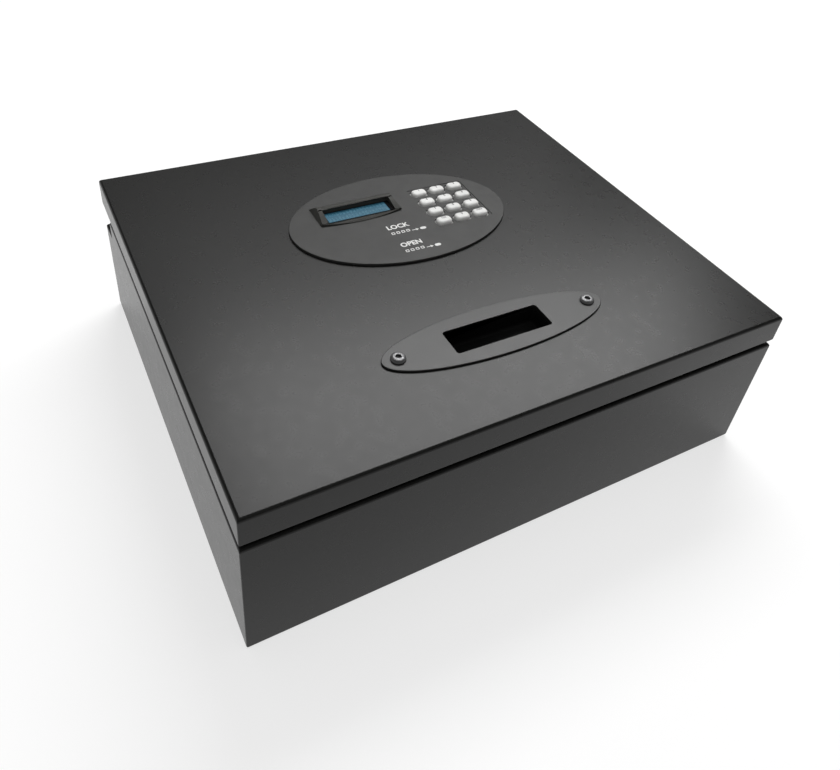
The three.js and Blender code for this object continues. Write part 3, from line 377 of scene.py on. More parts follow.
def quarter(start: tuple[float, float], radius: float, crown: float, steps: int = 5) -> list:
    """Stations over the rounded end of a turned piece.

    Args:
        start: Height and radius where the round starts.
        radius: How far it comes in.
        crown: How far it rises.
        steps: Number of stations after the first.

    Returns:
        The stations, the first one included.
    """
    turns = [i / steps * math.pi / 2 for i in range(steps + 1)]
    return [(start[0] + crown * math.sin(t), start[1] - radius * (1 - math.cos(t))) for t in turns]


def hexagon(name: str, centre: Place, across: float, low: float, high: float) -> Piece:
    """An upright six-sided bar, by its width across flats.

    Args:
        name: The piece's name.
        centre: Its axis, X and Y.
        across: Width across flats.
        low: Height of its underside.
        high: Height of its top.

    Returns:
        The bar.
    """
    return disc(name, centre, across / math.sqrt(3), low, high, 6)


def repeat(piece: Piece, name: str, move: Place) -> Piece:
    """Copies a piece with its own mesh and moves the copy.

    Args:
        piece: The piece to copy.
        name: The copy's name.
        move: How far the copy moves, in millimetres.

    Returns:
        The copy.
    """
    twin = piece.copy()
    twin.data = piece.data.copy()
    twin.name = twin.data.name = name
    bpy.context.scene.collection.objects.link(twin)
    twin.location = [value * MM for value in move]
    return settle(twin)


def node_copy(name: str, node: str) -> Piece:
    """A free copy of a CAD node with its triangles merged into faces.

    Args:
        name: The copy's name.
        node: The CAD node.

    Returns:
        The copy, riding on nothing yet.
    """
    source = frame["nodes"][node]
    piece = source.copy()
    piece.data = source.data.copy()
    piece.name = piece.data.name = name
    piece.parent = None
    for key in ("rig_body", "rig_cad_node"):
        del piece[key]
    bpy.context.scene.collection.objects.link(piece)
    with opened(piece):
        bpy.ops.mesh.customdata_custom_splitnormals_clear()
        bpy.ops.mesh.select_all(action="SELECT")
        bpy.ops.mesh.remove_doubles(threshold=0.001 * MM)
        bpy.ops.mesh.dissolve_limited(angle_limit=math.radians(0.5))
    return piece


def words(name: str, text: str, height: float, place: Place, face: float,
          align: str = "CENTER", weight: float = 0.06) -> Piece:
    """Raised lettering lying on a face that looks up.

    Args:
        name: The piece's name.
        text: The digits or letters.
        height: Height of a capital in millimetres.
        place: Its middle, or its left end, X and Y.
        face: Height of the face it lies on.
        align: Whether the place is its middle or its left end.
        weight: How much bolder the strokes are, in millimetres.

    Returns:
        The lettering as a mesh.
    """
    bpy.ops.object.select_all(action="DESELECT")
    bpy.ops.object.text_add(location=(place[0] * MM, place[1] * MM, (face + 0.02) * MM))
    piece = bpy.context.active_object
    piece.name = name
    piece.data.body = text
    piece.data.align_x = align
    piece.data.align_y = "CENTER"
    piece.data.size = height / 0.7 * MM
    piece.data.offset = weight * MM
    piece.data.extrude = 0.015 * MM
    piece.data.resolution_u = 3
    bpy.ops.object.convert(target="MESH")
    piece = bpy.context.active_object
    return settle(piece)


def ease_corners(piece: Piece, half_width: float, half_depth: float, radius: float = 0.9) -> Piece:
    """Eases the four corners where the folds of a sheet meet.

    Args:
        piece: The folded piece.
        half_width: Half its width.
        half_depth: Half its depth.
        radius: How far the corners are eased.

    Returns:
        The same piece.
    """
    def at_corner(edge: object) -> bool:
        """Tells whether an edge is upright or slanting, and at a corner.

        Args:
            edge: The edge.

        Returns:
            True for an edge to ease.
        """
        place = middle(edge)
        level = abs(edge.verts[0].co.z - edge.verts[1].co.z) < 1e-6
        return not level and abs(place.x) > half_width - 3.1 and abs(place.y) > half_depth - 3.1

    return round_edges(piece, at_corner, radius, 3)


def gather(name: str, pieces: Sequence[Piece]) -> Piece:
    """Joins several pieces into the first one.

    Args:
        name: The name of what they become.
        pieces: The pieces, the first of which stays.

    Returns:
        The joined piece.
    """
    only(pieces[0])
    for piece in pieces[1:]:
        piece.select_set(True)
    bpy.ops.object.join()
    pieces[0].name = pieces[0].data.name = name
    return pieces[0]


# Finishes

class Recipe:
    """Nodes of one material, joined up as they are added."""

    def __init__(self, name: str, colour: Colour, roughness: float, metal: float = 0.0,
                 specular: float = 0.5) -> None:
        """Starts a material with its plain values.

        Args:
            name: The material's name.
            colour: Base colour.
            roughness: Base roughness.
            metal: How metallic it is.
            specular: Specular level.
        """
        self.material = bpy.data.materials.new(name)
        self.material.use_nodes = True
        self.material.diffuse_color = (*colour, 1)
        self.tree = self.material.node_tree
        self.shader = self.tree.nodes["Principled BSDF"]
        self.normal = None
        inputs = self.shader.inputs
        inputs["Base Color"].default_value = (*colour, 1)
        inputs["Roughness"].default_value = roughness
        inputs["Metallic"].default_value = metal
        inputs["Specular IOR Level"].default_value = specular

    def node(self, kind: str, **values: object) -> bpy.types.Node:
        """Adds a node.

        Args:
            kind: The node's type, without its common first word.
            values: Settings of the node.

        Returns:
            The new node.
        """
        made = self.tree.nodes.new("ShaderNode" + kind)
        for key, value in values.items():
            setattr(made, key, value)
        return made

    def put(self, socket: bpy.types.NodeSocket, value: object) -> None:
        """Joins a socket to another, or sets it to a number or colour.

        Args:
            socket: The socket that is fed.
            value: Another socket, a number or a colour.
        """
        if isinstance(value, bpy.types.NodeSocket):
            self.tree.links.new(value, socket)
        else:
            socket.default_value = value

    def place(self, stretch: Place = (1, 1, 1), shift: Place = (0, 0, 0)) -> bpy.types.NodeSocket:
        """Object coordinates, stretched and moved by a Mapping node.

        Args:
            stretch: Factor along each axis.
            shift: Move along each axis after that.

        Returns:
            The place as a vector.
        """
        mapping = self.node("Mapping")
        self.put(mapping.inputs["Vector"], self.node("TexCoord").outputs["Object"])
        mapping.inputs["Scale"].default_value = stretch
        mapping.inputs["Location"].default_value = shift
        return mapping.outputs["Vector"]

    def noise(self, size: float, detail: float = 2.0,
              stretch: Place = (1, 1, 1)) -> bpy.types.NodeSocket:
        """Soft cloudy variation.

        Args:
            size: Size of a patch in millimetres.
            detail: Finer layers on top.
            stretch: Factor along each axis.

        Returns:
            A value round 0.5.
        """
        cloud = self.node("TexNoise")
        self.put(cloud.inputs["Vector"], self.place(stretch))
        cloud.inputs["Scale"].default_value = 1 / (size * MM)
        cloud.inputs["Detail"].default_value = detail
        return cloud.outputs["Fac"]

    def pebbles(self, size: float) -> bpy.types.NodeSocket:
        """Rounded cells of one size, as in a sprayed or spark-eroded skin.

        Args:
            size: Size of a cell in millimetres.

        Returns:
            The distance to the nearest cell's middle.
        """
        cells = self.node("TexVoronoi", feature="SMOOTH_F1")
        self.put(cells.inputs["Vector"], self.place())
        cells.inputs["Scale"].default_value = 1 / (size * MM)
        return cells.outputs["Distance"]

    def between(self, source: bpy.types.NodeSocket, low: float, high: float,
                start: float = 0.3, end: float = 0.7) -> bpy.types.NodeSocket:
        """Spreads a value over a new range.

        Args:
            source: The value.
            low: Result at the start.
            high: Result at the end.
            start: Value that gives the low result.
            end: Value that gives the high result.

        Returns:
            The new value.
        """
        spread = self.node("MapRange")
        self.put(spread.inputs["Value"], source)
        ends = {"From Min": start, "From Max": end, "To Min": low, "To Max": high}
        for key, value in ends.items():
            spread.inputs[key].default_value = value
        return spread.outputs["Result"]

    def blend(self, share: object, first: object, second: object) -> bpy.types.NodeSocket:
        """Blends two colours.

        Args:
            share: How much of the second, a value or a socket.
            first: First colour.
            second: Second colour.

        Returns:
            The blended colour.
        """
        mix = self.node("Mix", data_type="RGBA")
        self.put(mix.inputs[0], share)
        self.put(mix.inputs[6], (*first, 1) if isinstance(first, tuple) else first)
        self.put(mix.inputs[7], (*second, 1) if isinstance(second, tuple) else second)
        return mix.outputs[2]

    def sum(self, how: str, first: object, second: object = 0.0) -> bpy.types.NodeSocket:
        """One step of arithmetic.

        Args:
            how: The operation's name.
            first: First value or socket.
            second: Second value or socket.

        Returns:
            The result.
        """
        step = self.node("Math", operation=how)
        self.put(step.inputs[0], first)
        self.put(step.inputs[1], second)
        return step.outputs[0]

    def raise_by(self, height: bpy.types.NodeSocket, strength: float, depth: float) -> None:
        """Adds a relief to the surface, over any that came before.

        Args:
            height: The relief.
            strength: How much of it shows.
            depth: Its depth in millimetres.
        """
        bump = self.node("Bump")
        self.put(bump.inputs["Height"], height)
        bump.inputs["Strength"].default_value = strength
        bump.inputs["Distance"].default_value = depth * MM
        if self.normal is not None:
            self.put(bump.inputs["Normal"], self.normal)
        self.normal = bump.outputs["Normal"]
        self.put(self.shader.inputs["Normal"], self.normal)


def shade(colour: Colour, factor: float) -> Colour:
    """A colour made lighter or darker by a factor."""
    return tuple(min(1.0, part * factor) for part in colour)


@dataclass(frozen=True)
class Finish:
    """A finish with a name, made once and then shared."""

    name: str
    colour: Colour
    roughness: float = 0.5

    def material(self) -> bpy.types.Material:
        """The finish's material, mixed the first time it is asked for."""
        return bpy.data.materials.get(self.name) or self.mixed()

    def mixed(self) -> bpy.types.Material:
        """Mixes the material."""
        raise NotImplementedError


@dataclass(frozen=True)
class PowderCoat(Finish):
    """Satin powder coat on sheet steel, with a faint orange peel."""

    peel: float = 1.1
    specular: float = 0.5

    def mixed(self) -> bpy.types.Material:
        """Mixes the material.

        Returns:
            The new material.
        """
        recipe = Recipe(self.name, self.colour, self.roughness, 0.0, self.specular)
        cloud = recipe.between(recipe.noise(90, 2), 0, 1)
        base = recipe.blend(cloud, shade(self.colour, 0.92), shade(self.colour, 1.08))
        specks = recipe.between(recipe.noise(0.7, 1), 0, 0.1, 0.6, 0.8)
        base = recipe.blend(specks, base, shade(self.colour, 1.5))
        recipe.put(recipe.shader.inputs["Base Color"], base)
        gloss = recipe.between(recipe.noise(8, 5), self.roughness - 0.012, self.roughness + 0.016)
        recipe.put(recipe.shader.inputs["Roughness"], gloss)
        recipe.raise_by(recipe.pebbles(self.peel), 0.1, 0.006)
        recipe.raise_by(recipe.noise(0.35, 1), 0.08, 0.003)
        return recipe.material


@dataclass(frozen=True)
class MouldedPlastic(Finish):
    """Moulded plastic with a fine spark-eroded texture."""

    grain: float = 0.45
    specular: float = 0.4

    def mixed(self) -> bpy.types.Material:
        """Mixes the material.

        Returns:
            The new material.
        """
        recipe = Recipe(self.name, self.colour, self.roughness, 0.0, self.specular)
        cloud = recipe.between(recipe.noise(35, 3), 0, 1)
        base = recipe.blend(cloud, shade(self.colour, 0.93), shade(self.colour, 1.07))
        recipe.put(recipe.shader.inputs["Base Color"], base)
        worn = recipe.between(recipe.noise(9, 4), self.roughness - 0.05, self.roughness + 0.05)
        recipe.put(recipe.shader.inputs["Roughness"], worn)
        recipe.raise_by(recipe.pebbles(self.grain), 0.4, 0.02)
        return recipe.material


@dataclass(frozen=True)
class BareSteel(Finish):
    """Plated or blackened steel with fine marks of its making."""

    metal: float = 0.9
    stretch: tuple[float, float, float] = (1.0, 1.0, 6.0)

    def mixed(self) -> bpy.types.Material:
        """Mixes the material.

        Returns:
            The new material.
        """
        recipe = Recipe(self.name, self.colour, self.roughness, self.metal)
        cloud = recipe.between(recipe.noise(6, 4), 0, 1)
        base = recipe.blend(cloud, shade(self.colour, 0.82), shade(self.colour, 1.1))
        recipe.put(recipe.shader.inputs["Base Color"], base)
        marks = recipe.noise(1.5, 3, self.stretch)
        gloss = recipe.between(marks, self.roughness - 0.08, self.roughness + 0.1)
        recipe.put(recipe.shader.inputs["Roughness"], gloss)
        recipe.raise_by(marks, 0.2, 0.01)
        return recipe.material


@dataclass(frozen=True)
class SoftRubber(Finish):
    """Matt rubber or silicone with a dusty bloom."""

    def mixed(self) -> bpy.types.Material:
        """Mixes the material.

        Returns:
            The new material.
        """
        recipe = Recipe(self.name, self.colour, self.roughness, 0.0, 0.3)
        bloom = recipe.between(recipe.noise(3, 4), 0, 0.5)
        base = recipe.blend(bloom, self.colour, shade(self.colour, 1.6))
        recipe.put(recipe.shader.inputs["Base Color"], base)
        recipe.raise_by(recipe.noise(0.4, 2), 0.4, 0.02)
        return recipe.material


@dataclass(frozen=True)
class FloorFelt(Finish):
    """Needle felt: short crossed fibres and a soft nap."""

    def mixed(self) -> bpy.types.Material:
        """Mixes the material.

        Returns:
            The new material.
        """
        recipe = Recipe(self.name, self.colour, self.roughness, 0.0, 0.15)
        recipe.shader.inputs["Sheen Weight"].default_value = 0.35
        recipe.shader.inputs["Sheen Roughness"].default_value = 0.6
        along = recipe.noise(0.9, 3, (1.0, 4.0, 1.0))
        across = recipe.noise(0.9, 3, (4.0, 1.0, 1.0))
        fibres = recipe.sum("MAXIMUM", along, across)
        base = recipe.blend(recipe.between(fibres, 0, 1, 0.45, 0.7), shade(self.colour, 0.6),
                            shade(self.colour, 1.5))
        recipe.put(recipe.shader.inputs["Base Color"], base)
        recipe.raise_by(fibres, 0.8, 0.25)
        recipe.raise_by(recipe.noise(14, 2), 0.3, 0.4)
        return recipe.material


@dataclass(frozen=True)
class CircuitBoard(Finish):
    """Green solder mask over copper tracks, with the glass weave under it."""

    def mixed(self) -> bpy.types.Material:
        """Mixes the material.

        Returns:
            The new material.
        """
        recipe = Recipe(self.name, self.colour, self.roughness)
        tracks = recipe.node("TexBrick", offset=0.37)
        recipe.put(tracks.inputs["Vector"], recipe.place())
        layout = {"Scale": 260.0, "Mortar Size": 0.05, "Brick Width": 1.7}
        for key, value in layout.items():
            tracks.inputs[key].default_value = value
        lines = recipe.blend(tracks.outputs["Fac"], self.colour, shade(self.colour, 1.9))
        recipe.put(recipe.shader.inputs["Base Color"], lines)
        recipe.raise_by(tracks.outputs["Fac"], 0.3, 0.03)
        recipe.raise_by(recipe.pebbles(0.5), 0.15, 0.01)
        return recipe.material


@dataclass(frozen=True)
class CrystalScreen(Finish):
    """Backlit liquid-crystal screen with rows of faint dot cells, none of them a letter."""

    left: float = -58.0
    front: float = 48.1
    cell: float = 2.9
    cell_gap: float = 0.2
    row: float = 6.4
    row_gap: float = 0.16
    dot: tuple[float, float] = (0.45, 0.75)
    unlit: float = 0.42
    contrast: float = 0.34
    pale: Colour = (0.13, 0.27, 0.34)

    def mixed(self) -> bpy.types.Material:
        """Mixes the material.

        Returns:
            The new material.
        """
        recipe = Recipe(self.name, self.colour, self.roughness, 0.0, 0.15)
        origin = (-self.left * MM, -self.front * MM, 0)
        split = recipe.node("SeparateXYZ")
        recipe.put(split.inputs[0], recipe.place(shift=origin))
        inside = None
        for axis, pitch, gap in ((0, self.cell, self.cell_gap), (1, self.row, self.row_gap)):
            steps = recipe.sum("DIVIDE", split.outputs[axis], pitch * MM)
            share = recipe.sum("FRACT", steps)
            low = recipe.sum("GREATER_THAN", share, gap)
            both = recipe.sum("MULTIPLY", low, recipe.sum("LESS_THAN", share, 1 - gap / 3))
            inside = both if inside is None else recipe.sum("MULTIPLY", inside, both)
        dot = recipe.node("VectorMath", operation="SNAP")
        recipe.put(dot.inputs[0], recipe.place())
        dot.inputs[1].default_value = (self.dot[0] * MM, self.dot[1] * MM, 1.0)
        chance = recipe.node("TexWhiteNoise", noise_dimensions="3D")
        recipe.put(chance.inputs["Vector"], dot.outputs["Vector"])
        lit = recipe.sum("GREATER_THAN", chance.outputs["Value"], self.unlit)
        share = recipe.sum("MULTIPLY", recipe.sum("MULTIPLY", inside, lit), self.contrast)
        cloud = recipe.between(recipe.noise(16, 2), 0, 0.35)
        base = recipe.blend(cloud, self.colour, shade(self.colour, 0.72))
        recipe.put(recipe.shader.inputs["Base Color"], recipe.blend(share, base, self.pale))
        recipe.shader.inputs["Coat Weight"].default_value = 0.05
        recipe.shader.inputs["Coat Roughness"].default_value = 0.2
        recipe.raise_by(recipe.noise(0.6, 1), 0.1, 0.01)
        return recipe.material


@dataclass(frozen=True)
class CellSleeve(Finish):
    """Printed sleeve of a dry cell: silver with a dark band, and bare ends."""

    dark_end: float = 28.0
    dark: Colour = (0.03, 0.03, 0.035)

    def mixed(self) -> bpy.types.Material:
        """Mixes the material.

        Returns:
            The new material.
        """
        recipe = Recipe(self.name, self.colour, self.roughness, 0.5)
        split = recipe.node("SeparateXYZ")
        recipe.put(split.inputs[0], recipe.place())
        band = recipe.sum("GREATER_THAN", split.outputs[1], self.dark_end * MM)
        base = recipe.blend(band, self.colour, self.dark)
        recipe.put(recipe.shader.inputs["Base Color"], base)
        recipe.raise_by(recipe.noise(2.0, 2), 0.15, 0.02)
        return recipe.material


@dataclass(frozen=True)
class PrintedInk(Finish):
    """Pad-printed ink, a little uneven at its edges."""

    def mixed(self) -> bpy.types.Material:
        """Mixes the material.

        Returns:
            The new material.
        """
        recipe = Recipe(self.name, self.colour, self.roughness, 0.0, 0.3)
        patchy = recipe.between(recipe.noise(0.8, 3), 0, 0.5)
        base = recipe.blend(patchy, self.colour, shade(self.colour, 0.8))
        recipe.put(recipe.shader.inputs["Base Color"], base)
        recipe.raise_by(recipe.noise(0.3, 1), 0.2, 0.01)
        return recipe.material


COAT = PowderCoat("charcoal_powder_coat", (0.0085, 0.0085, 0.0080), 0.28, specular=0.2)
PULL_COAT = PowderCoat("pull_plate_coat", (0.019, 0.019, 0.0185), 0.34, peel=0.8, specular=0.28)
CONSOLE_GREY = MouldedPlastic("console_grey_plastic", (0.027, 0.027, 0.026), 0.46, specular=0.24)
# Painted light: the hood is the console's grey plastic, made lighter and more matt here so that its front
# slope reads as lit
HOOD_GREY_PAINTED_LIGHT = MouldedPlastic("hood_grey_painted_light", (0.034, 0.034, 0.031), 0.58, specular=0.17)
SURROUND_BLACK = MouldedPlastic("screen_surround_black", (0.003, 0.003, 0.0035), 0.85,
                                specular=0.08)
# Painted shade: the pull cup is the cover's black plastic, made darker here so that the finger slot reads
# as deep shade
SLOT_BLACK_PAINTED_SHADE = MouldedPlastic("slot_black_painted_shade", (0.006, 0.006, 0.006), 0.6,
                             grain=0.7, specular=0.2)
COVER_BLACK = MouldedPlastic("cover_black_plastic", (0.017, 0.017, 0.018), 0.5,
                             grain=0.7, specular=0.35)
ZINC = BareSteel("zinc_plated_steel", (0.52, 0.54, 0.56), 0.32)
BLACKED = BareSteel("blackened_steel", (0.15, 0.15, 0.152), 0.4, metal=0.8, stretch=(1, 1, 1))
KEY_WHITE = MouldedPlastic("white_key_plastic", (0.65, 0.65, 0.637), 0.5, grain=0.6)
KEY_INK = PrintedInk("key_ink", (0.05, 0.05, 0.055), 0.55)
PANEL_INK = PrintedInk("panel_ink", (0.70, 0.70, 0.69), 0.6)
SILICONE = SoftRubber("grey_silicone", (0.27, 0.28, 0.29), 0.75)
RUBBER = SoftRubber("black_rubber", (0.008, 0.008, 0.008), 0.8)
FELT = FloorFelt("charcoal_felt", (0.022, 0.024, 0.028), 0.95)
BOARD = CircuitBoard("green_circuit_board", (0.012, 0.10, 0.035), 0.4)
SCREEN = CrystalScreen("blue_crystal_screen", (0.022, 0.105, 0.165), 0.3)
NYLON = MouldedPlastic("cream_nylon", (0.80, 0.75, 0.64), 0.4)
SLEEVE = CellSleeve("cell_sleeve", (0.38, 0.40, 0.42), 0.3)


def hand_over(piece: Piece, body: str, slot: str, finish: Finish, *nodes: str) -> Piece:
    """Gives a finished piece its coat, its body and the CAD nodes it stands for.

    Args:
        piece: The finished piece.
        body: The body it rides on.
        slot: The record's material slot; not used.
        finish: Its finish.
        nodes: CAD nodes that it replaces.

    Returns:
        The same piece.
    """
    if len(piece.data.materials) < 2:
        piece.data.materials.clear()
        piece.data.materials.append(finish.material())
    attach(piece, body)
    if nodes:
        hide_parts(*nodes)
    log.info("%s rides on %s in %s, for %s", piece.name, body, finish.name, nodes or "no node")
    return piece


def dress(finish: Finish, *nodes: str) -> None:
    """Gives CAD nodes that stay their finish.

    Args:
        finish: The finish.
        nodes: The CAD nodes.
    """
    for node in nodes:
        for slot in frame["nodes"][node].material_slots:
            slot.material = finish.material()
        log.info("%s stays, in %s", node, finish.name)


# Forms that several sub-assemblies share

def hinge_pivot(side: Side) -> tuple[float, float, float]:
    """The hinge's axis at the middle of one side's arm, in millimetres."""
    return side.value * HINGE_PIVOT[0], HINGE_PIVOT[1], HINGE_PIVOT[2]


def pin_bore(side: Side) -> Piece:
    """Round tool that bores a bracket or an arm for its pin."""
    return turned("bore", [(-12, PIN_BORE), (12, PIN_BORE)], hinge_pivot(side), (1, 0, 0), 32)


def stud_places() -> list[tuple[float, float]]:
    """Middles of the four weld studs that hold the lock cover under the lid."""
    return [(side.value * STUD_X, y) for side in Side for y in STUD_ROWS]


def oval_plate(name: str, middle_y: float, size: tuple[float, float], low: float, high: float,
               rim: float) -> Piece:
    """An oval plate with a rounded rim along its top.

    Args:
        name: The piece's name.
        middle_y: Its middle along Y.
        size: Its length and breadth.
        low: Height of its underside.
        high: Height of its face.
        rim: Radius of its rim.

    Returns:
        The plate.
    """
    length, breadth = size
    plate = disc(name, (0, 0), length / 2, low, high, 144)
    with opened(plate):
        bpy.ops.mesh.select_all(action="SELECT")
        bpy.ops.transform.resize(value=(1, breadth / length, 1), center_override=(0, 0, 0))
        bpy.ops.transform.translate(value=(0, middle_y * MM, 0))
    return round_edges(
        plate, lambda edge: not runs(edge, 2) and middle(edge).z > high - 0.1, rim, 4)


# Sub-assemblies

@dataclass
class BodyBox:
    """Lower box: folded shell, felt mat, rim bumpers and hinge brackets."""

    half_width: float = 205.0
    half_depth: float = 175.0
    rim: float = 103.5
    ledge: float = 87.0
    riser: float = 151.0
    upstand: float = 124.0
    upstand_half: float = 191.5
    sheet: float = 2.0
    bend: float = 2.3
    front_rim: float = 18.0
    side_rim: float = 14.0
    anchors: tuple[float, float] = (150.0, 120.0)
    anchor_hole: float = 4.5
    bumper: tuple[float, float] = (179.0, -168.0)
    mouth_corner: float = 8.0
    mat_play: float = 3.0
    mat_heights: tuple[float, float] = (2.3, 5.3)
    bracket_half: float = 9.5
    bracket_gap: float = 6.5

    def build(self) -> None:
        """Builds and dresses every piece of the box."""
        self.shell()
        self.mat()
        for side in Side:
            self.rim_bumper(side)
            self.bracket(side)

    def folded(self, name: str, inset: float, radius: float, steps: int) -> Piece:
        """A solid with the box's stepped outline.

        Args:
            name: The piece's name.
            inset: How far it lies inside the box's outside.
            radius: Radius of its folds.
            steps: Facets across each fold.

        Returns:
            The solid.
        """
        x, y, step = self.half_width - inset, self.half_depth - inset, self.riser - inset
        form = block(name, (-x, -y, inset), (x, y, self.ledge - inset))
        rise = (self.rim - self.ledge) * MM
        with opened(form):
            choose(form, Kind.FACE, lambda face: face.normal.z > 0.9)
            bpy.ops.mesh.bisect(plane_co=(0, step * MM, 0), plane_no=(0, 1, 0))
            choose(form, Kind.FACE, lambda face: face.normal.z > 0.9 and middle(face).y < 100)
            bpy.ops.mesh.extrude_region_move(TRANSFORM_OT_translate={"value": (0, 0, rise)})
            bpy.ops.mesh.select_all(action="SELECT")
            bpy.ops.mesh.dissolve_limited(angle_limit=0.01)
        return round_edges(
            form, lambda edge: abs(middle(edge).y - step) > 1 and not runs(edge, 2), radius, steps)

    def shell(self) -> None:
        """Folded shell with its mouth, rear upstand and holes."""
        low, high = self.rim - self.sheet, self.rim
        shell = self.folded("box_shell", 0.0, self.bend, 6)
        ease_corners(shell, self.half_width, self.half_depth)
        combine(shell, self.folded("inside", self.sheet, self.bend - self.sheet, 3), Joining.CUT)
        x, front = self.half_width - self.side_rim, self.front_rim - self.half_depth
        rear = self.riser - self.sheet
        mouth = block("mouth", (-x, front, low - PAST), (x, rear, high + PAST))
        round_edges(mouth, lambda edge: runs(edge, 2) and middle(edge).y < 0, self.mouth_corner, 8)
        combine(shell, mouth, Joining.CUT)
        upstand = block("upstand", (-self.upstand_half, rear, low),
                        (self.upstand_half, self.riser, self.upstand))
        combine(shell, upstand, Joining.UNITE)
        for place in self.anchor_places():
            hole = disc("hole", place, self.anchor_hole, -PAST, self.sheet + PAST, 32)
            combine(shell, hole, Joining.CUT)
        for side in Side:
            place = (side.value * self.bumper[0], self.bumper[1])
            hole = disc("hole", place, STUD_HOLE, low - PAST, high + PAST, 24)
            combine(shell, hole, Joining.CUT)
        soften(shell, 0.25)
        hand_over(shell, "safe_body", "painted_steel", COAT, "body_shell")

    def anchor_places(self) -> list[tuple[float, float]]:
        """Middles of the four anchor holes in the floor."""
        x, y = self.anchors
        return [(-x, -y), (-x, y), (x, -y), (x, y)]

    def mat(self) -> None:
        """Felt mat on the floor, with round cut-outs over the anchor holes."""
        x, y = self.half_width - self.mat_play, self.half_depth - self.mat_play
        low, high = self.mat_heights
        mat = upright_block("felt_mat", (-x, -y, low), (x, y, high), 3)
        for place in self.anchor_places():
            combine(mat, disc("hole", place, self.anchor_hole + 5, 1, 7), Joining.CUT)
        soften(mat, 0.7, 40, 3)
        hand_over(mat, "safe_body", "felt_dark", FELT, "floor_mat")

    def rim_bumper(self, side: Side) -> None:
        """Push-in bumper with a barbed stem.

        Args:
            side: Which of the two bumpers.
        """
        place = (side.value * self.bumper[0], self.bumper[1], self.rim + 0.3)
        barb, stem, head = 3.1, 2.2, 4
        stations = [(-5.1, 1.3), (-2.6, barb), (-2.6, stem), (0, stem), (0, head),
                    *quarter((2.4, head), 1, 1)]
        piece = soften(turned(f"rim_bumper_{side.word}", stations, place), 0)
        hand_over(piece, "safe_body", "rubber_black", RUBBER, f"lid_bumper_{side.word}")

    def bracket(self, side: Side) -> None:
        """Hinge bracket: a base on the riser and two ears with an eye.

        Args:
            side: Which of the two brackets.
        """
        (x, y, z), half, gap = hinge_pivot(side), self.bracket_half, self.bracket_gap
        ears = block("bracket", (x - half, y - 6.7, z - 21.5),
                     (x + half, y + HINGE_EYE, z + HINGE_EYE))
        with opened(ears):
            choose(ears, Kind.FACE, lambda face: face.normal.y > 0.9)
            bpy.ops.mesh.bisect(plane_co=(0, 0, (z - HINGE_EYE) * MM), plane_no=(0, 0, 1))
            choose(ears, Kind.CORNER,
                   lambda corner: corner.co.y > y * MM and corner.co.z < (z - 20) * MM)
            bpy.ops.transform.translate(value=(0, -9.7 * MM, 0))
        round_edges(
            ears, lambda edge: runs(edge, 0) and middle(edge).y > y and middle(edge).z > z,
            HINGE_EYE - 0.1, 8)
        combine(ears, block("gap", (x - gap, y - 8, z - 7), (x + gap, y + 7, z + 7)), Joining.CUT)
        combine(ears, block("gap", (x - gap, y - 3.7, z - 23), (x + gap, y + 7, z - HINGE_EYE)),
                Joining.CUT)
        combine(ears, pin_bore(side), Joining.CUT)
        ears.name = ears.data.name = f"hinge_bracket_{side.word}"
        soften(ears, 0.3)
        hand_over(ears, "safe_body", "painted_steel", COAT, f"hinge_clevis_{side.word}")


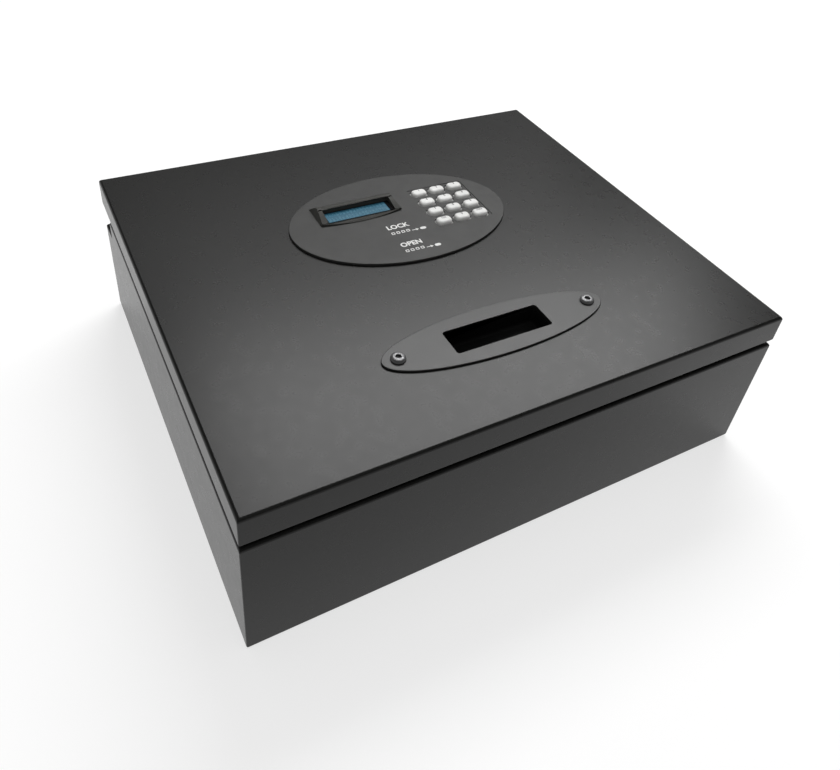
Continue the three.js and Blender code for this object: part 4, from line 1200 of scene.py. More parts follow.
@dataclass
class LidPan:
    """Folded lid with its openings, weld studs, hinge arms and pins."""

    half_width: float = 205.0
    half_depth: float = 175.0
    lip: float = 107.5
    top: float = 130.0
    sheet: float = 2.0
    bend: float = 2.3
    fold: float = 12.0
    lip_fold: float = 1.2
    rear_lip: float = 8.0
    key_opening: tuple[float, float, float, float] = (20.6, 14.6, 71.8, 70.0)
    display_opening: tuple[float, float, float, float] = (-60.15, 46.1, -0.35, 62.9)
    stud: tuple[float, float] = (2.0, 8.0)

    def build(self) -> None:
        """Builds and dresses every piece of the lid pan."""
        self.pan()
        for side in Side:
            self.arm(side)
            self.pin(side)

    def pan(self) -> None:
        """Folded pan with turned-in lips, an open rear, its openings and the weld studs."""
        x, y, under = self.half_width, self.half_depth, self.top - self.sheet
        pan = block("lid_pan", (-x, -y, self.lip), (x, y, self.top))
        round_edges(pan, lambda edge: middle(edge).z > self.top - 0.01, self.bend, 6)
        round_edges(pan, lambda edge: middle(edge).z < self.lip + 0.01, self.lip_fold, 4)
        ease_corners(pan, x, y)
        sheet, past_lip = self.sheet, self.lip + 3
        inner = block("inner", (sheet - x, sheet - y, self.lip + sheet), (x - sheet, y - sheet, under))
        round_edges(inner, lambda edge: middle(edge).z > past_lip, self.bend - sheet, 3)
        combine(pan, inner, Joining.CUT)
        combine(pan, block("mouth", (self.fold - x, self.fold - y, self.lip - PAST),
                           (x - self.fold, y - sheet, past_lip)), Joining.CUT)
        combine(pan, block("rear", (sheet - x, y - 3, self.lip - PAST),
                           (x - sheet, y + PAST, self.top - self.rear_lip)), Joining.CUT)
        low, high = under - PAST, self.top + PAST
        reach, breadth, corner = PULL_SLOT
        openings = ((self.key_opening, 3), (self.display_opening, 0.8),
                    ((-reach, PULL_MIDDLE - breadth, reach, PULL_MIDDLE + breadth), corner))
        for (left, front, right, rear), radius in openings:
            opening = upright_block("opening", (left, front, low), (right, rear, high), radius)
            combine(pan, opening, Joining.CUT)
        for side in Side:
            place = (side.value * PULL_SCREW_X, PULL_MIDDLE)
            combine(pan, disc("screw", place, SCREW_HOLE, low, high, 32), Joining.CUT)
        radius, length = self.stud
        for place in stud_places():
            stud = disc("stud", place, radius, under - length, under + PAST, 24)
            combine(pan, stud, Joining.UNITE)
        soften(pan, 0.25)
        hand_over(pan, "lid", "painted_steel", COAT, "lid_shell")

    def arm(self, side: Side) -> None:
        """Hinge arm: an eye on the pivot and a flange under the lid.

        Args:
            side: Which of the two arms.
        """
        (x, y, z), half = hinge_pivot(side), 6.0
        arm = block(f"hinge_arm_{side.word}_shaped", (x - half, y - HINGE_EYE, z - HINGE_EYE),
                    (x + half, y + HINGE_EYE, z + 14))
        round_edges(arm, lambda edge: runs(edge, 0) and middle(edge).z < z, HINGE_EYE - 0.1, 8)
        flange = block("flange", (x - half, y - 16, z + 12.7), (x + half, y + 10, z + 15.2))
        combine(arm, flange, Joining.UNITE)
        combine(arm, pin_bore(side), Joining.CUT)
        soften(arm, 0.3)
        hand_over(arm, "lid", "painted_steel", COAT, f"hinge_arm_{side.word}")

    def pin(self, side: Side) -> None:
        """Headed hinge pin with its retaining clip.

        Args:
            side: Which of the two pins.
        """
        shank, clip, head, cheek = 3, 4, 4.75, 9.8
        stations = [(-12.8, 2.4), (-12.2, shank), (-10.8, shank), (-10.8, clip), (-cheek, clip),
                    (-cheek, shank), (cheek, shank), (cheek, head),
                    *quarter((10.9, head), 0.5, 0.5, 3)]
        pin = turned(f"pin_{side.word}_turned", stations, hinge_pivot(side), (side.value, 0, 0), 32)
        hand_over(soften(pin, 0), "lid", "zinc_steel", ZINC, f"hinge_pin_{side.word}")


@dataclass
class Console:
    """Oval console with its display hood, keys and printed signs."""

    centre: float = 40.3
    length: float = 184.0
    breadth: float = 117.0
    under: float = 130.3
    face: float = 132.1
    rim: float = 0.5
    hood: tuple[float, float] = (-30.25, 57.8)
    hood_size: tuple[float, float] = (70.5, 29.0)
    hood_height: float = 5.4
    hood_front: float = 0.1
    hood_swell: float = 3.9
    hood_bow: float = 4.3
    hood_draft: float = 3.6
    hood_ridge: float = 6.5
    hood_gap: float = 0.3
    window: tuple[float, float, float, float] = (-59.15, 47.1, -1.35, 61.9)
    window_play: float = 0.3
    window_corner: float = 0.8
    keypad: tuple[float, float] = (46.2, 42.3)
    pocket: tuple[float, float, float, float] = (20.3, 14.1, 72.1, 70.5)
    pocket_depth: float = 0.5
    pitch: tuple[float, float] = (16.9, 14.2)
    key: tuple[float, float] = (13.2, 8.8)
    key_corner: float = 3.4
    key_gap: float = 0.9
    key_draft: float = 0.35
    key_round: float = 1.9
    key_top: float = 134.3
    key_foot: float = 129.5
    collar: float = 1.5
    digit_height: float = 2.3
    word_height: float = 1.6
    key_sign: tuple[float, float] = (0.2, 1.3)
    sign_rows: tuple[float, float] = (24.6, 0.8)
    sign_height: float = 4.9
    digit_mark: float = 2.9
    digit_wall: float = 0.65

    def build(self) -> None:
        """Builds and dresses every piece of the console."""
        self.plate()
        self.display_hood()
        self.keys()
        self.signs()
        dress(SURROUND_BLACK, "display_module")
        dress(SCREEN, "display_screen")
        dress(SILICONE, "key_mat")
        dress(BOARD, "keypad_board")

    def key_places(self) -> list[tuple[float, float]]:
        """Middles of the twelve keys, row by row from the rear."""
        (x, y), (right, back) = self.keypad, self.pitch
        return [(x + (i % 3 - 1) * right, y + (1.5 - i // 3) * back) for i in range(12)]

    def plate(self) -> None:
        """Oval plate with a rounded rim, the window and the key holes."""
        plate = oval_plate("console_oval", self.centre, (self.length, self.breadth),
                           self.under, self.face, self.rim)
        low, high, play = self.under - PAST, self.face + PAST, self.window_play
        left, front, right, rear = self.pocket
        pocket = upright_block("pocket", (left, front, self.face - self.pocket_depth),
                               (right, rear, high), 3)
        combine(plate, pocket, Joining.CUT)
        left, front, right, rear = self.window
        window = upright_block("window", (left - play, front - play, low),
                               (right + play, rear + play, high), self.window_corner)
        combine(plate, window, Joining.CUT)
        first = self.key_places()[0]
        hole = self.key_block("hole", first, self.key_gap, low, high)
        for x, y in self.key_places()[1:]:
            combine(plate, repeat(hole, "hole_copy", (x - first[0], y - first[1], 0)), Joining.CUT)
        combine(plate, hole, Joining.CUT)
        soften(plate, 0.15)
        hand_over(plate, "lid", "moulded_grey", CONSOLE_GREY, "console_plate")

    def key_block(self, name: str, place: Place, grow: float, low: float, high: float) -> Piece:
        """A block with the outline of a key.

        Args:
            name: The block's name.
            place: Its middle, X and Y.
            grow: How far the outline grows all round.
            low: Height of its underside.
            high: Height of its top.

        Returns:
            The block.
        """
        x, y = self.key[0] / 2 + grow, self.key[1] / 2 + grow
        return upright_block(name, (place[0] - x, place[1] - y, low),
                             (place[0] + x, place[1] + y, high), self.key_corner + grow, 8)

    def hood_rise(self, y: float) -> float:
        """Height of the hood over the console at a place along Y.

        Args:
            y: Distance from the hood's middle.

        Returns:
            The height in millimetres.
        """
        ridge, depth = self.hood_ridge, self.hood_size[1]
        low, high = self.hood_front, self.hood_height
        if y >= ridge:
            ends, control = (depth / 2, ridge), ridge + 2.8
            bend = (low, high, high)
        else:
            ends, control = (ridge, -depth / 2), ridge - 0.36 * depth
            bend = (high, self.hood_swell, low)
        first, last = 0.0, 1.0
        for _ in range(30):
            t = (first + last) / 2
            here = (1 - t) ** 2 * ends[0] + 2 * t * (1 - t) * control + t * t * ends[1]
            first, last = (t, last) if here > y else (first, t)
        return (1 - t) ** 2 * bend[0] + 2 * t * (1 - t) * bend[1] + t * t * bend[2]

    def display_hood(self) -> None:
        """Hood: a curved wedge with a bowed front, leaning ends and a window."""
        (cx, cy), (length, depth), base = self.hood, self.hood_size, self.face + self.hood_gap
        half, deep, top = length / 2, depth / 2, base + self.hood_height
        wedge = block("hood", (cx - half, cy - deep, self.face + 0.05), (cx + half, cy + deep, top))
        rows = [cy + depth * (i / 28 - 0.5) for i in range(29)]
        with opened(wedge):
            for y in rows[1:-1]:
                bpy.ops.mesh.select_all(action="SELECT")
                bpy.ops.mesh.bisect(plane_co=(0, y * MM, 0), plane_no=(0, 1, 0))
            for y in rows:
                rise = self.hood_rise(y - cy)
                lean = self.hood_draft * rise / (self.hood_height + 1)
                for side in (-1, 1):
                    choose(wedge, Kind.CORNER, lambda c: abs(c.co.y - y * MM) < 1e-5
                           and c.co.z > (top - 0.01) * MM and (c.co.x - cx * MM) * side > 0)
                    bpy.ops.transform.translate(
                        value=(-side * lean * MM, 0, (rise - self.hood_height) * MM))
        plan = block("plan", (cx - half - PAST, cy - deep, base - PAST),
                     (cx + half + PAST, cy + deep, top + PAST))
        bow = (half ** 2 + self.hood_bow ** 2) / (2 * self.hood_bow)
        columns = [cx + (half + PAST) * (i / 16 - 1) for i in range(33)]
        with opened(plan):
            for x in columns[1:-1]:
                bpy.ops.mesh.select_all(action="SELECT")
                bpy.ops.mesh.bisect(plane_co=(x * MM, 0, 0), plane_no=(1, 0, 0))
            for x in columns:
                back = bow - math.sqrt(bow ** 2 - (x - cx) ** 2)
                choose(plan, Kind.CORNER, lambda c: abs(c.co.x - x * MM) < 1e-5
                       and c.co.y < (cy - deep + 0.01) * MM)
                bpy.ops.transform.translate(value=(0, back * MM, 0))
        combine(wedge, plan, Joining.KEEP)
        left, front, right, rear = self.window
        window = upright_block("window", (left, front, base - PAST), (right, rear, top + PAST),
                               self.window_corner)
        combine(wedge, window, Joining.CUT)
        wedge.name = wedge.data.name = "hood_curved"
        soften(wedge, 0.3, 30, 3)
        # Painted light: the hood gets a lighter copy of the console's grey, so that its front slope reads
        # as lit
        hand_over(wedge, "lid", "moulded_grey", HOOD_GREY_PAINTED_LIGHT, "display_hood")

    def keys(self) -> None:
        """Twelve round-topped keys, modelled once and copied, each with its own sign."""
        places = self.key_places()
        signs = ["1", "2", "3", "4", "5", "6", "7", "8", "9", "CLR", "0", "LOCK"]
        x, y = places[0]
        cap = self.key_block("cap", (x, y), 0, self.key_foot, self.key_top)
        lean = [1 - 2 * self.key_draft / size for size in self.key]
        with opened(cap):
            choose(cap, Kind.FACE, lambda face: face.normal.z > 0.9)
            bpy.ops.transform.resize(value=(*lean, 1),
                                     center_override=(x * MM, y * MM, self.key_top * MM))
        round_edges(cap, lambda edge: middle(edge).z > self.key_top - 0.1, self.key_round, 5)
        collar = pill("collar", (x, y), *(size + 2 * self.collar for size in self.key), 128.6, 130)
        combine(cap, collar, Joining.UNITE)
        combine(cap, block("stem", (x - 5, y - 3, 127.5), (x + 5, y + 3, 129)), Joining.UNITE)
        soften(cap, 0.15)
        cap.data.materials.append(KEY_WHITE.material())
        for place, sign in zip(places, signs):
            node = {"CLR": "key_clear", "LOCK": "key_lock"}.get(sign, f"key_{sign}")
            key = repeat(cap, node + "_cap", (place[0] - x, place[1] - y, 0))
            height = self.digit_height if len(sign) == 1 else self.word_height
            printed = (place[0] + self.key_sign[0], place[1] + self.key_sign[1])
            mark = words("sign", sign, height, printed, self.key_top)
            mark.data.materials.append(KEY_INK.material())
            key = gather(node + "_cap", [key, mark])
            hand_over(key, node, "key_white", KEY_WHITE, node)
        bpy.data.objects.remove(cap, do_unlink=True)

    def signs(self) -> None:
        """White signs beside the keys: a word for each action over its row of marks."""
        low, high = self.face - 0.05, self.face + 0.04
        parts: list[Piece] = []
        for word, row in zip(("LOCK", "OPEN"), self.sign_rows):
            place = (-19.0, row + self.sign_height / 2)
            parts.append(words("sign", word, self.sign_height, place, self.face, "LEFT", 0.22))
            for i in range(4):
                parts.append(self.hollow_mark(-18.6 + i * 4.3, row - 6.6, low, high))
        for row in self.sign_rows:
            y, bar = row - 6.25, 0.3
            parts.append(block("arrow_bar", (-1.2, y - bar, low), (2.4, y + bar, high)))
            head = turned("arrow_head", [(0, 1.4), (2.4, 0.01)], (2.4, y, (low + high) / 2), (1, 0, 0), 4)
            slab = block("slab", (2.0, y - 2.25, low), (6, y + 2.25, high))
            parts.append(combine(slab, head, Joining.KEEP))
            parts.append(pill("press_mark", (8.6, y), 5.2, self.digit_mark, low, high))
        sheet = gather("console_signs", parts)
        hand_over(sheet, "lid", "key_white", PANEL_INK)

    def hollow_mark(self, x: float, y: float, low: float, high: float) -> Piece:
        """A hollow square that stands for one digit.

        Args:
            x: Its left edge.
            y: Its front edge.
            low: Height of its underside.
            high: Height of its top.

        Returns:
            The mark.
        """
        near, far = self.digit_wall, self.digit_mark - self.digit_wall
        mark = upright_block("digit_mark", (x, y, low),
                             (x + self.digit_mark, y + self.digit_mark, high), 0.5, 3)
        hollow = upright_block("hollow", (x + near, y + near, low - PAST),
                               (x + far, y + far, high + PAST), 0.2, 2)
        return combine(mark, hollow, Joining.CUT)


@dataclass
class FingerPull:
    """Oval pull plate, its cup and two button-head screws."""

    length: float = 176.0
    breadth: float = 46.0
    under: float = 130.3
    face: float = 131.5
    rim: float = 0.5
    floor: float = 115.3
    undercut: float = 8.0
    cup_top: float = 127.7
    cup_wall: float = 1.5
    cup_flange: tuple[float, float] = (86.5, 21.0)
    screw_head: tuple[float, float] = (5.25, 2.2)
    socket: float = 4.0
    nut: tuple[float, float, float] = (10.0, 5.0, 125.9)

    def build(self) -> None:
        """Builds and dresses every piece of the pull."""
        self.plate()
        self.cup()
        self.screws()
        self.nuts()

    def plate(self) -> None:
        """Oval plate with a rounded rim, the finger slot and two holes."""
        plate = oval_plate("pull_oval", PULL_MIDDLE, (self.length, self.breadth),
                           self.under, self.face, self.rim)
        x, y, radius = PULL_SLOT
        low, high = self.under - PAST, self.face + PAST
        slot = upright_block("slot", (-x, PULL_MIDDLE - y, low), (x, PULL_MIDDLE + y, high), radius, 8)
        combine(plate, slot, Joining.CUT)
        self.screw_holes(plate, low, high)
        soften(plate, 0.2)
        hand_over(plate, "lid", "coated_plate", PULL_COAT, "handle_plate")

    def screw_holes(self, piece: Piece, low: float, high: float) -> None:
        """Cuts the two screw holes through a piece.

        Args:
            piece: The plate or the cup.
            low: Height where the holes start.
            high: Height where they end.
        """
        for side in Side:
            place = (side.value * PULL_SCREW_X, PULL_MIDDLE)
            combine(piece, disc("hole", place, SCREW_HOLE, low, high, 32), Joining.CUT)

    def cup(self) -> None:
        """Moulded cup with a flange under the lid and room for the fingertips."""
        top, wall, (reach, half) = self.cup_top, self.cup_wall, self.cup_flange
        x, rear = PULL_SLOT[0], PULL_MIDDLE + PULL_SLOT[1]
        front = PULL_MIDDLE - PULL_SLOT[1] - self.undercut
        middle_y = (front + rear) / 2
        flange = upright_block("cup_moulded", (-reach, middle_y - half, top - wall),
                               (reach, middle_y + half, top), 12, 8)
        outer = upright_block("outer", (-x - wall, front - wall, self.floor - wall),
                              (x + wall, rear + wall, top - 0.5), 4, 6)
        combine(flange, outer, Joining.UNITE)
        inner = block("inner", (-x, front, self.floor), (x, rear, top + 2))
        round_edges(inner, lambda edge: runs(edge, 2) or middle(edge).z < self.floor + 0.1, 2.4, 5)
        combine(flange, inner, Joining.CUT)
        self.screw_holes(flange, top - 3, top + PAST)
        soften(flange, 0.2)
        # Painted shade: the cup gets a darker copy of the cover's black plastic, so that its hollow reads
        # as shade
        hand_over(flange, "lid", "moulded_black", SLOT_BLACK_PAINTED_SHADE, "pull_cup")

    def screws(self) -> None:
        """Button-head screws with a hexagon socket."""
        radius, height = self.screw_head
        stations = [(-13, 2.4), (-12.4, 3), (0, 3), (0, radius),
                    *quarter((0.3, radius), 2.6, height - 0.3, 8)]
        for side in Side:
            place = (side.value * PULL_SCREW_X, PULL_MIDDLE, self.face + 0.3)
            screw = turned(f"pull_screw_{side.word}", stations, place)
            top = place[2] + height
            combine(screw, hexagon("socket", place, self.socket, top - 1.8, top + PAST), Joining.CUT)
            soften(screw, 0.12)
            hand_over(screw, "lid", "black_steel", BLACKED, f"handle_screw_{side.word}")

    def nuts(self) -> None:
        """Hexagon nuts that hold the screws under the cup."""
        across, height, top = self.nut
        for side in Side:
            place = (side.value * PULL_SCREW_X, PULL_MIDDLE)
            nut = hexagon(f"pull_nut_{side.word}", place, across, top - height, top)
            bore = disc("bore", place, SCREW_HOLE, top - height - PAST, top + PAST, 32)
            combine(nut, bore, Joining.CUT)
            soften(nut, 0.5, 35, 3)
            hand_over(nut, "lid", "zinc_steel", ZINC, f"handle_nut_{side.word}")


@dataclass(frozen=True)
class Pillars:
    """The pillars under one board: their middle, their spread either way and their top."""

    middle: tuple[float, float]
    spread: tuple[float, float]
    top: float

    def places(self) -> list[tuple[float, float]]:
        """Middles of the pillars, at the ends of the spread.

        Returns:
            Four places, or two where the spread is along X alone.
        """
        (x, y), (across, along) = self.middle, self.spread
        rows = (-1, 1) if along else (0,)
        return [(x + i * across, y + j * along) for i in (-1, 1) for j in rows]


CONTROL_PILLARS = Pillars((34.0, -7.0), (41.0, 10.0), 105.0)
KEYPAD_PILLARS = Pillars((46.2, 42.3), (25.6, 27.7), 123.5)
DISPLAY_PILLARS = Pillars((-30.25, 54.5), (28.9, 0.0), 122.4)


@dataclass
class LockCover:
    """Moulded cover under the lid: a deep tray, a shallow tray, and what they hold."""

    half: float = 95.0
    flange: float = 107.0
    top: float = 127.7
    front: float = -151.0
    joint: float = -28.0
    rear: float = 85.0
    deep: float = 83.9
    shallow: float = 98.0
    wall: float = 2.0
    bolt_hole: float = 6.4
    bay: tuple[float, float] = (-56.0, 12.0)
    bay_half: tuple[float, float] = (30.0, 27.4)
    bay_depth: float = 14.8
    door_half: tuple[float, float] = (33.0, 30.4)
    door_heights: tuple[float, float] = (95.7, 97.7)
    grooves: int = 5
    groove_pitch: float = 3.0
    cell_pitch: float = 15.0
    cell_radius: float = 7.1

    def build(self) -> None:
        """Builds and dresses every piece of the cover."""
        self.deep_tray()
        self.shallow_tray()
        self.nuts()
        self.door()
        self.cells()
        dress(BOARD, "main_board")
        dress(ZINC, "battery_contact_front", "battery_contact_rear")

    def tray(self, name: str, front: float, rear: float, low: float) -> Piece:
        """An open tray with side flanges along its top.

        Args:
            name: The piece's name.
            front: Its front face.
            rear: Its rear face.
            low: Its underside.

        Returns:
            The tray.
        """
        x, top, wall = self.half, self.top, self.wall
        tray = block(name, (-x, front, low), (x, rear, top))
        round_edges(tray, lambda edge: runs(edge, 2), 8, 8)
        round_edges(tray, lambda edge: middle(edge).z < low + 0.1, 1.5, 4)
        brim = upright_block("brim", (-self.flange, front, top - wall),
                             (self.flange, rear, top), 10, 8)
        combine(tray, brim, Joining.UNITE)
        inner = upright_block("inner", (wall - x, front + wall, low + wall),
                              (x - wall, rear - wall, top + PAST), 6, 6)
        combine(tray, inner, Joining.CUT)
        for place in stud_places():
            combine(tray, disc("hole", place, STUD_HOLE, top - 3, top + PAST, 24), Joining.CUT)
        return tray

    def deep_tray(self) -> None:
        """Deep front tray for the bolt work, with bolt holes and guide bosses."""
        tray = self.tray("bolt_tray", self.front, self.joint, self.deep)
        for side in Side:
            place = (side.value * BOLT_X, self.front, BOLT_HEIGHT)
            hole = turned("hole", [(-2, self.bolt_hole), (4, self.bolt_hole)], place, (0, 1, 0))
            combine(tray, hole, Joining.CUT)
        for place in GUIDE_PLACES:
            boss = disc("boss", place, 4, self.deep + 1, 92.2, 32)
            combine(tray, boss, Joining.UNITE)
            combine(tray, disc("pilot", place, 2.1, self.deep + self.wall, 93, 24), Joining.CUT)
        soften(tray, 0.25)
        hand_over(tray, "lid", "moulded_black", COVER_BLACK, "lock_housing")

    def shallow_tray(self) -> None:
        """Shallow rear tray with the battery bay, the door's rails and the pillars."""
        low, floor, (bay_x, bay_y) = self.shallow, self.shallow + self.wall, self.bay
        tray = self.tray("board_tray", self.joint + 0.3, self.rear, low)
        (across, along), roof, skin = self.bay_half, low + self.bay_depth, 1.6
        combine(tray, block("bay", (bay_x - across - skin, bay_y - along - skin, floor - 1),
                            (bay_x + across + skin, bay_y + along + skin, roof + skin)), Joining.UNITE)
        for pillars in (CONTROL_PILLARS, KEYPAD_PILLARS, DISPLAY_PILLARS):
            for place in pillars.places():
                pillar = disc("pillar", place, 3, floor - 1, pillars.top, 24)
                combine(tray, pillar, Joining.UNITE)
        combine(tray, block("cells", (bay_x - across, bay_y - along, low - PAST),
                            (bay_x + across, bay_y + along, roof)), Joining.CUT)
        for side in Side:
            self.rail(tray, side)
        soften(tray, 0.25)
        hand_over(tray, "lid", "moulded_black", COVER_BLACK, "board_housing")

    def rail(self, tray: Piece, side: Side) -> None:
        """Adds one of the door's two rails: a wall with a lip under the door's edge.

        Args:
            tray: The shallow tray.
            side: Which of the two rails.
        """
        (x, y), (half, reach), low = self.bay, self.door_half, self.shallow
        near, lip, outer = (x + side.value * (half + by) for by in (0.3, -2.0, 2.3))
        foot, front, rear = low - 4.6, y - reach, y + reach
        for name, inner, top in (("rail", near, low + 1), ("lip", lip, low - 2.6)):
            left, right = sorted((inner, outer))
            combine(tray, block(name, (left, front, foot), (right, rear, top)), Joining.UNITE)

    def nuts(self) -> None:
        """Nuts on the lid's weld studs."""
        top = self.top - 2.3
        first = hexagon("stud_nut", (0, 0), 7, top - 3.2, top)
        combine(first, disc("bore", (0, 0), 2.2, top - 4, top + 1, 24), Joining.CUT)
        soften(first, 0.35, 35, 3)
        for i, (x, y) in enumerate(stud_places(), 1):
            nut = repeat(first, f"stud_nut_{i}", (x, y, 0))
            hand_over(nut, "lid", "zinc_steel", ZINC, f"housing_nut_{i}")
        bpy.data.objects.remove(first, do_unlink=True)

    def door(self) -> None:
        """Sliding battery door with a ribbed finger grip."""
        (x, y), (half, reach), (low, high) = self.bay, self.door_half, self.door_heights
        door = upright_block("bay_door", (x - half, y - reach, low), (x + half, y + reach, high), 1.6, 4)
        for i in range(self.grooves):
            row = y + reach - 6 - i * self.groove_pitch
            groove = block("groove", (x - 14, row - 0.7, low - PAST), (x + 14, row + 0.7, low + 0.6))
            combine(door, groove, Joining.CUT)
        soften(door, 0.2)
        hand_over(door, "battery_cover", "moulded_black", COVER_BLACK, "battery_door")

    def cells(self) -> None:
        """Four cells, turned end for end one after another."""
        radius, button = self.cell_radius, 2.75
        stations = [(-24.5, 6.3), (0.2 - 24.5, radius - 0.4), (0.8 - 24.5, radius),
                    *quarter((23.7, radius), 0.8, 0.8, 4), (24.5, button),
                    *quarter((25.4, button), 0.3, 0.3, 3)]
        for i in range(4):
            place = (self.bay[0] + (i - 1.5) * self.cell_pitch, self.bay[1], self.shallow + radius)
            cell = turned(f"cell_{i + 1}", stations, place, (0, 1 if i % 2 == 0 else -1, 0), 40)
            hand_over(soften(cell, 0), "lid", "cell_jacket", SLEEVE, f"battery_{i + 1}")


@dataclass
class BoltWork:
    """Bolts, rack bar, pinion, motor and guide screws inside the deep tray."""

    tip: float = -154.2
    length: float = 19.9
    radius: float = 6.0
    tongue_slot: tuple[float, float, float] = (4.8, 7.8, 2.3)
    bar: float = 4.0
    pinion: tuple[float, float] = (12.5, -59.0)

    def build(self) -> None:
        """Builds and dresses every piece of the bolt work."""
        for side in Side:
            self.bolt(side)
        self.guides()
        self.motor()
        for node, name, body, slot, finish in (
            ("bolt_bar", "rack_bar", "bolt_work", "zinc_steel", ZINC),
            ("drive_pinion", "pinion_moulded", "pinion", "nylon_cream", NYLON),
            ("motor_bracket", "bracket_bent", "lid", "zinc_steel", ZINC),
        ):
            piece = soften(node_copy(name, node), 0.12)
            hand_over(piece, body, slot, finish, node)

    def bolt(self, side: Side) -> None:
        """Round bolt with a chamfered nose and a slot for the bar's tongue.

        Args:
            side: Which of the two bolts.
        """
        stations = [(0, 4.0), (2, self.radius), (self.length, self.radius)]
        place = (side.value * BOLT_X, self.tip, BOLT_HEIGHT)
        bolt = turned(f"bolt_{side.word}", stations, place, (0, 1, 0), 48)
        x, rear, (half, depth, rise) = place[0], self.tip + self.length, self.tongue_slot
        slot = block("slot", (x - half, rear - depth, BOLT_HEIGHT - rise),
                     (x + half, rear + PAST, BOLT_HEIGHT + rise))
        combine(bolt, slot, Joining.CUT)
        soften(bolt, 0.25)
        hand_over(bolt, "bolt_work", "zinc_steel", ZINC, f"locking_bolt_{side.word}")

    def guides(self) -> None:
        """Two socket screws that guide the bar."""
        seat, shank, head = BOLT_HEIGHT + self.bar / 2, 2, 4
        stations = [(86.3 - seat, shank), (0.6, shank), (0.6, head), *quarter((2.1, head), 0.7, 0.7, 4)]
        for i, place in enumerate(GUIDE_PLACES, 1):
            screw = turned(f"guide_screw_{i}_turned", stations, (*place, seat), sides=32)
            combine(screw, hexagon("socket", place, 2.8, seat + 1.6, seat + 4), Joining.CUT)
            soften(screw, 0.1)
            hand_over(screw, "lid", "black_steel", BLACKED, f"guide_screw_{i}")

    def motor(self) -> None:
        """Gear motor with its boss, shaft, gearbox and can."""
        low = BOLT_HEIGHT + self.bar / 2 + 2.4 + 2.3
        shaft, boss, gearbox, can = 1.5, 3.5, 10, 9
        stations = [(92 - low, shaft), (-2.5, shaft), (-2.5, boss), (0, boss), (0, gearbox),
                    (8, gearbox), (8, can), *quarter((19, can), 1, 1, 4)]
        motor = turned("motor_turned", stations, (*self.pinion, low))
        hand_over(soften(motor, 0.15), "lid", "zinc_steel", ZINC, "gear_motor")


# Studio

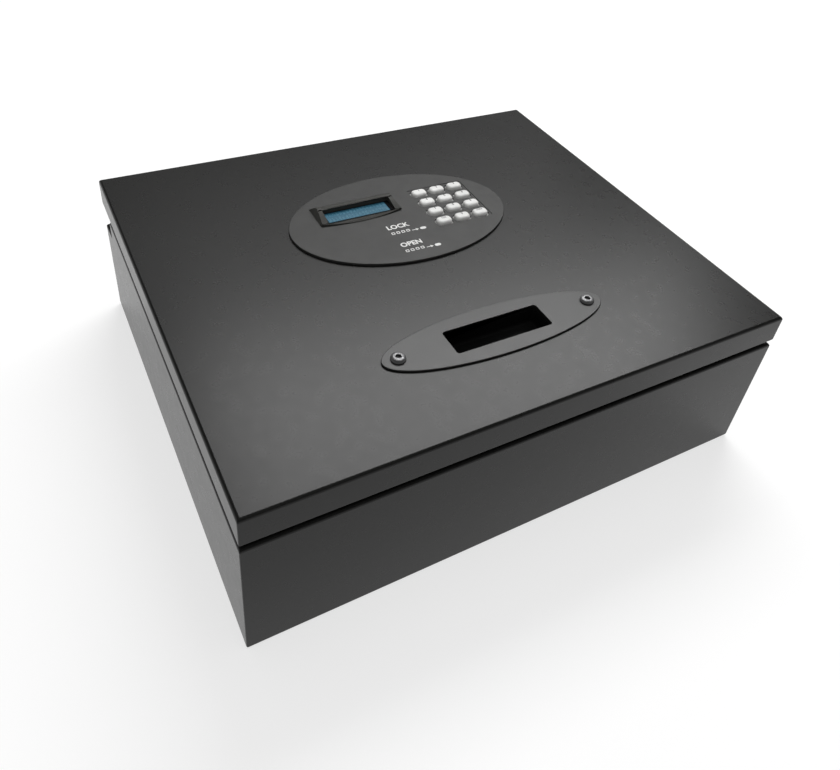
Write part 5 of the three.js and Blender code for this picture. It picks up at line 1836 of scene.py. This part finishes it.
@dataclass
class Studio:
    """Floor, plain soft light and the camera of the photograph."""

    focal: float = 783.678
    image: tuple[int, int] = (840, 770)
    axis_row: float = 266.446
    place: tuple[float, float, float] = (-0.26467061, -0.41078767, 0.48115552)
    right: tuple[float, float, float] = (0.87489461, -0.47515832, 0.09372297)
    down: tuple[float, float, float] = (-0.22511588, -0.57031823, -0.78997465)
    ahead: tuple[float, float, float] = (0.42881494, 0.67004604, -0.60593404)
    sensor: float = 36.0
    floor_radius: float = 9.0
    floor_drop: float = 0.0003
    floor_shade: Colour = (0.36, 0.36, 0.36)
    floor_glow: float = 0.66
    horizon: tuple[float, float] = (0.08, 0.95)
    overhead: tuple[float, float] = (0.34, 0.06)

    def build(self) -> None:
        """Sets up the floor, the lights and the camera."""
        self.floor()
        self.world()
        self.softbox("near_softbox", (0.94, 0.95, 1.75), (0.8, 0, 0.13), (1.8, 0.75), 39)
        self.softbox("far_softbox", (0.85, 1.75, 1.75), (0.7, 0, 0.13), (2.0, 1.0), 7)
        self.softbox("ceiling_fill", (-0.3, -0.4, 2.3), (0, 0, 0), (3.0, 3.0), 30, mirrored=False)
        self.camera()

    def floor(self) -> None:
        """Wide pale floor that shows white and keeps the safe's soft shadow."""
        bpy.ops.object.select_all(action="DESELECT")
        bpy.ops.mesh.primitive_circle_add(vertices=96, radius=self.floor_radius, fill_type="NGON",
                                          location=(0, 0, -self.floor_drop))
        floor = settle(bpy.context.active_object)
        floor.name = floor.data.name = "studio_floor"
        recipe = Recipe("pale_floor", self.floor_shade, 1.0)
        nodes, links = recipe.tree.nodes, recipe.tree.links
        nodes.remove(recipe.shader)
        diffuse = nodes.new("ShaderNodeBsdfDiffuse")
        diffuse.inputs["Color"].default_value = (*self.floor_shade, 1)
        glow = nodes.new("ShaderNodeEmission")
        path = nodes.new("ShaderNodeLightPath")
        seen = recipe.sum("ADD", path.outputs["Is Camera Ray"], path.outputs["Is Glossy Ray"])
        seen = recipe.sum("ADD", seen, path.outputs["Is Transmission Ray"])
        recipe.put(glow.inputs["Strength"], recipe.sum("MULTIPLY", seen, self.floor_glow))
        both = nodes.new("ShaderNodeAddShader")
        links.new(diffuse.outputs[0], both.inputs[0])
        links.new(glow.outputs[0], both.inputs[1])
        links.new(both.outputs[0], nodes["Material Output"].inputs["Surface"])
        floor.data.materials.append(recipe.material)

    def world(self) -> None:
        """Plain surroundings: pale at the horizon, greyer overhead."""
        world = bpy.data.worlds.new("plain_studio")
        bpy.context.scene.world = world
        world.use_nodes = True
        tree = world.node_tree
        sky = tree.nodes["Background"]
        coords = tree.nodes.new("ShaderNodeTexCoord")
        split = tree.nodes.new("ShaderNodeSeparateXYZ")
        ramp = tree.nodes.new("ShaderNodeValToRGB")
        tree.links.new(coords.outputs["Generated"], split.inputs[0])
        tree.links.new(split.outputs["Z"], ramp.inputs["Fac"])
        tree.links.new(ramp.outputs["Color"], sky.inputs["Color"])
        for stop, (position, level) in zip(ramp.color_ramp.elements, (self.horizon, self.overhead)):
            stop.position = position
            stop.color = (level, level, level, 1)
        sky.inputs["Strength"].default_value = 1.0

    def softbox(self, name: str, place: Place, aim: Place, size: Place, power: float,
                mirrored: bool = True) -> None:
        """Adds a large soft lamp.

        Args:
            name: The lamp's name.
            place: Where it stands, in metres.
            aim: What it points at, in metres.
            size: Its width and height.
            power: Its power in watts.
            mirrored: Whether it shows in glossy surfaces.
        """
        lamp = bpy.data.lights.new(name, "AREA")
        lamp.shape = "RECTANGLE"
        lamp.size, lamp.size_y = size
        lamp.energy = power
        stand = bpy.data.objects.new(name, lamp)
        bpy.context.scene.collection.objects.link(stand)
        stand.location = place
        stand.visible_glossy = mirrored
        stand.rotation_mode = "QUATERNION"
        stand.rotation_quaternion = (Vector(aim) - Vector(place)).to_track_quat("-Z", "Y")

    def camera(self) -> None:
        """Camera fitted to the photograph."""
        data = bpy.data.cameras.new("photo_camera")
        data.sensor_width = self.sensor
        data.lens = self.focal / self.image[0] * self.sensor
        data.shift_y = (self.axis_row - self.image[1] / 2) / self.image[0]
        data.clip_start, data.clip_end = 0.01, 100.0
        camera = bpy.data.objects.new("photo_camera", data)
        bpy.context.scene.collection.objects.link(camera)
        axes = Matrix((self.right, [-v for v in self.down], [-v for v in self.ahead])).transposed()
        camera.rotation_mode = "QUATERNION"
        camera.rotation_quaternion = axes.to_quaternion()
        camera.location = self.place
        bpy.context.scene.camera = camera
        bpy.context.scene.view_settings.view_transform = "Standard"


def main() -> None:
    """Builds every sub-assembly in order."""
    logging.basicConfig(level=logging.INFO, format="%(name)s: %(message)s")
    assemblies = (Studio(), BodyBox(), LidPan(), Console(), FingerPull(), LockCover(), BoltWork())
    for assembly in assemblies:
        log.info("building %s", type(assembly).__name__)
        assembly.build()


if __name__ == "__main__":
    main()
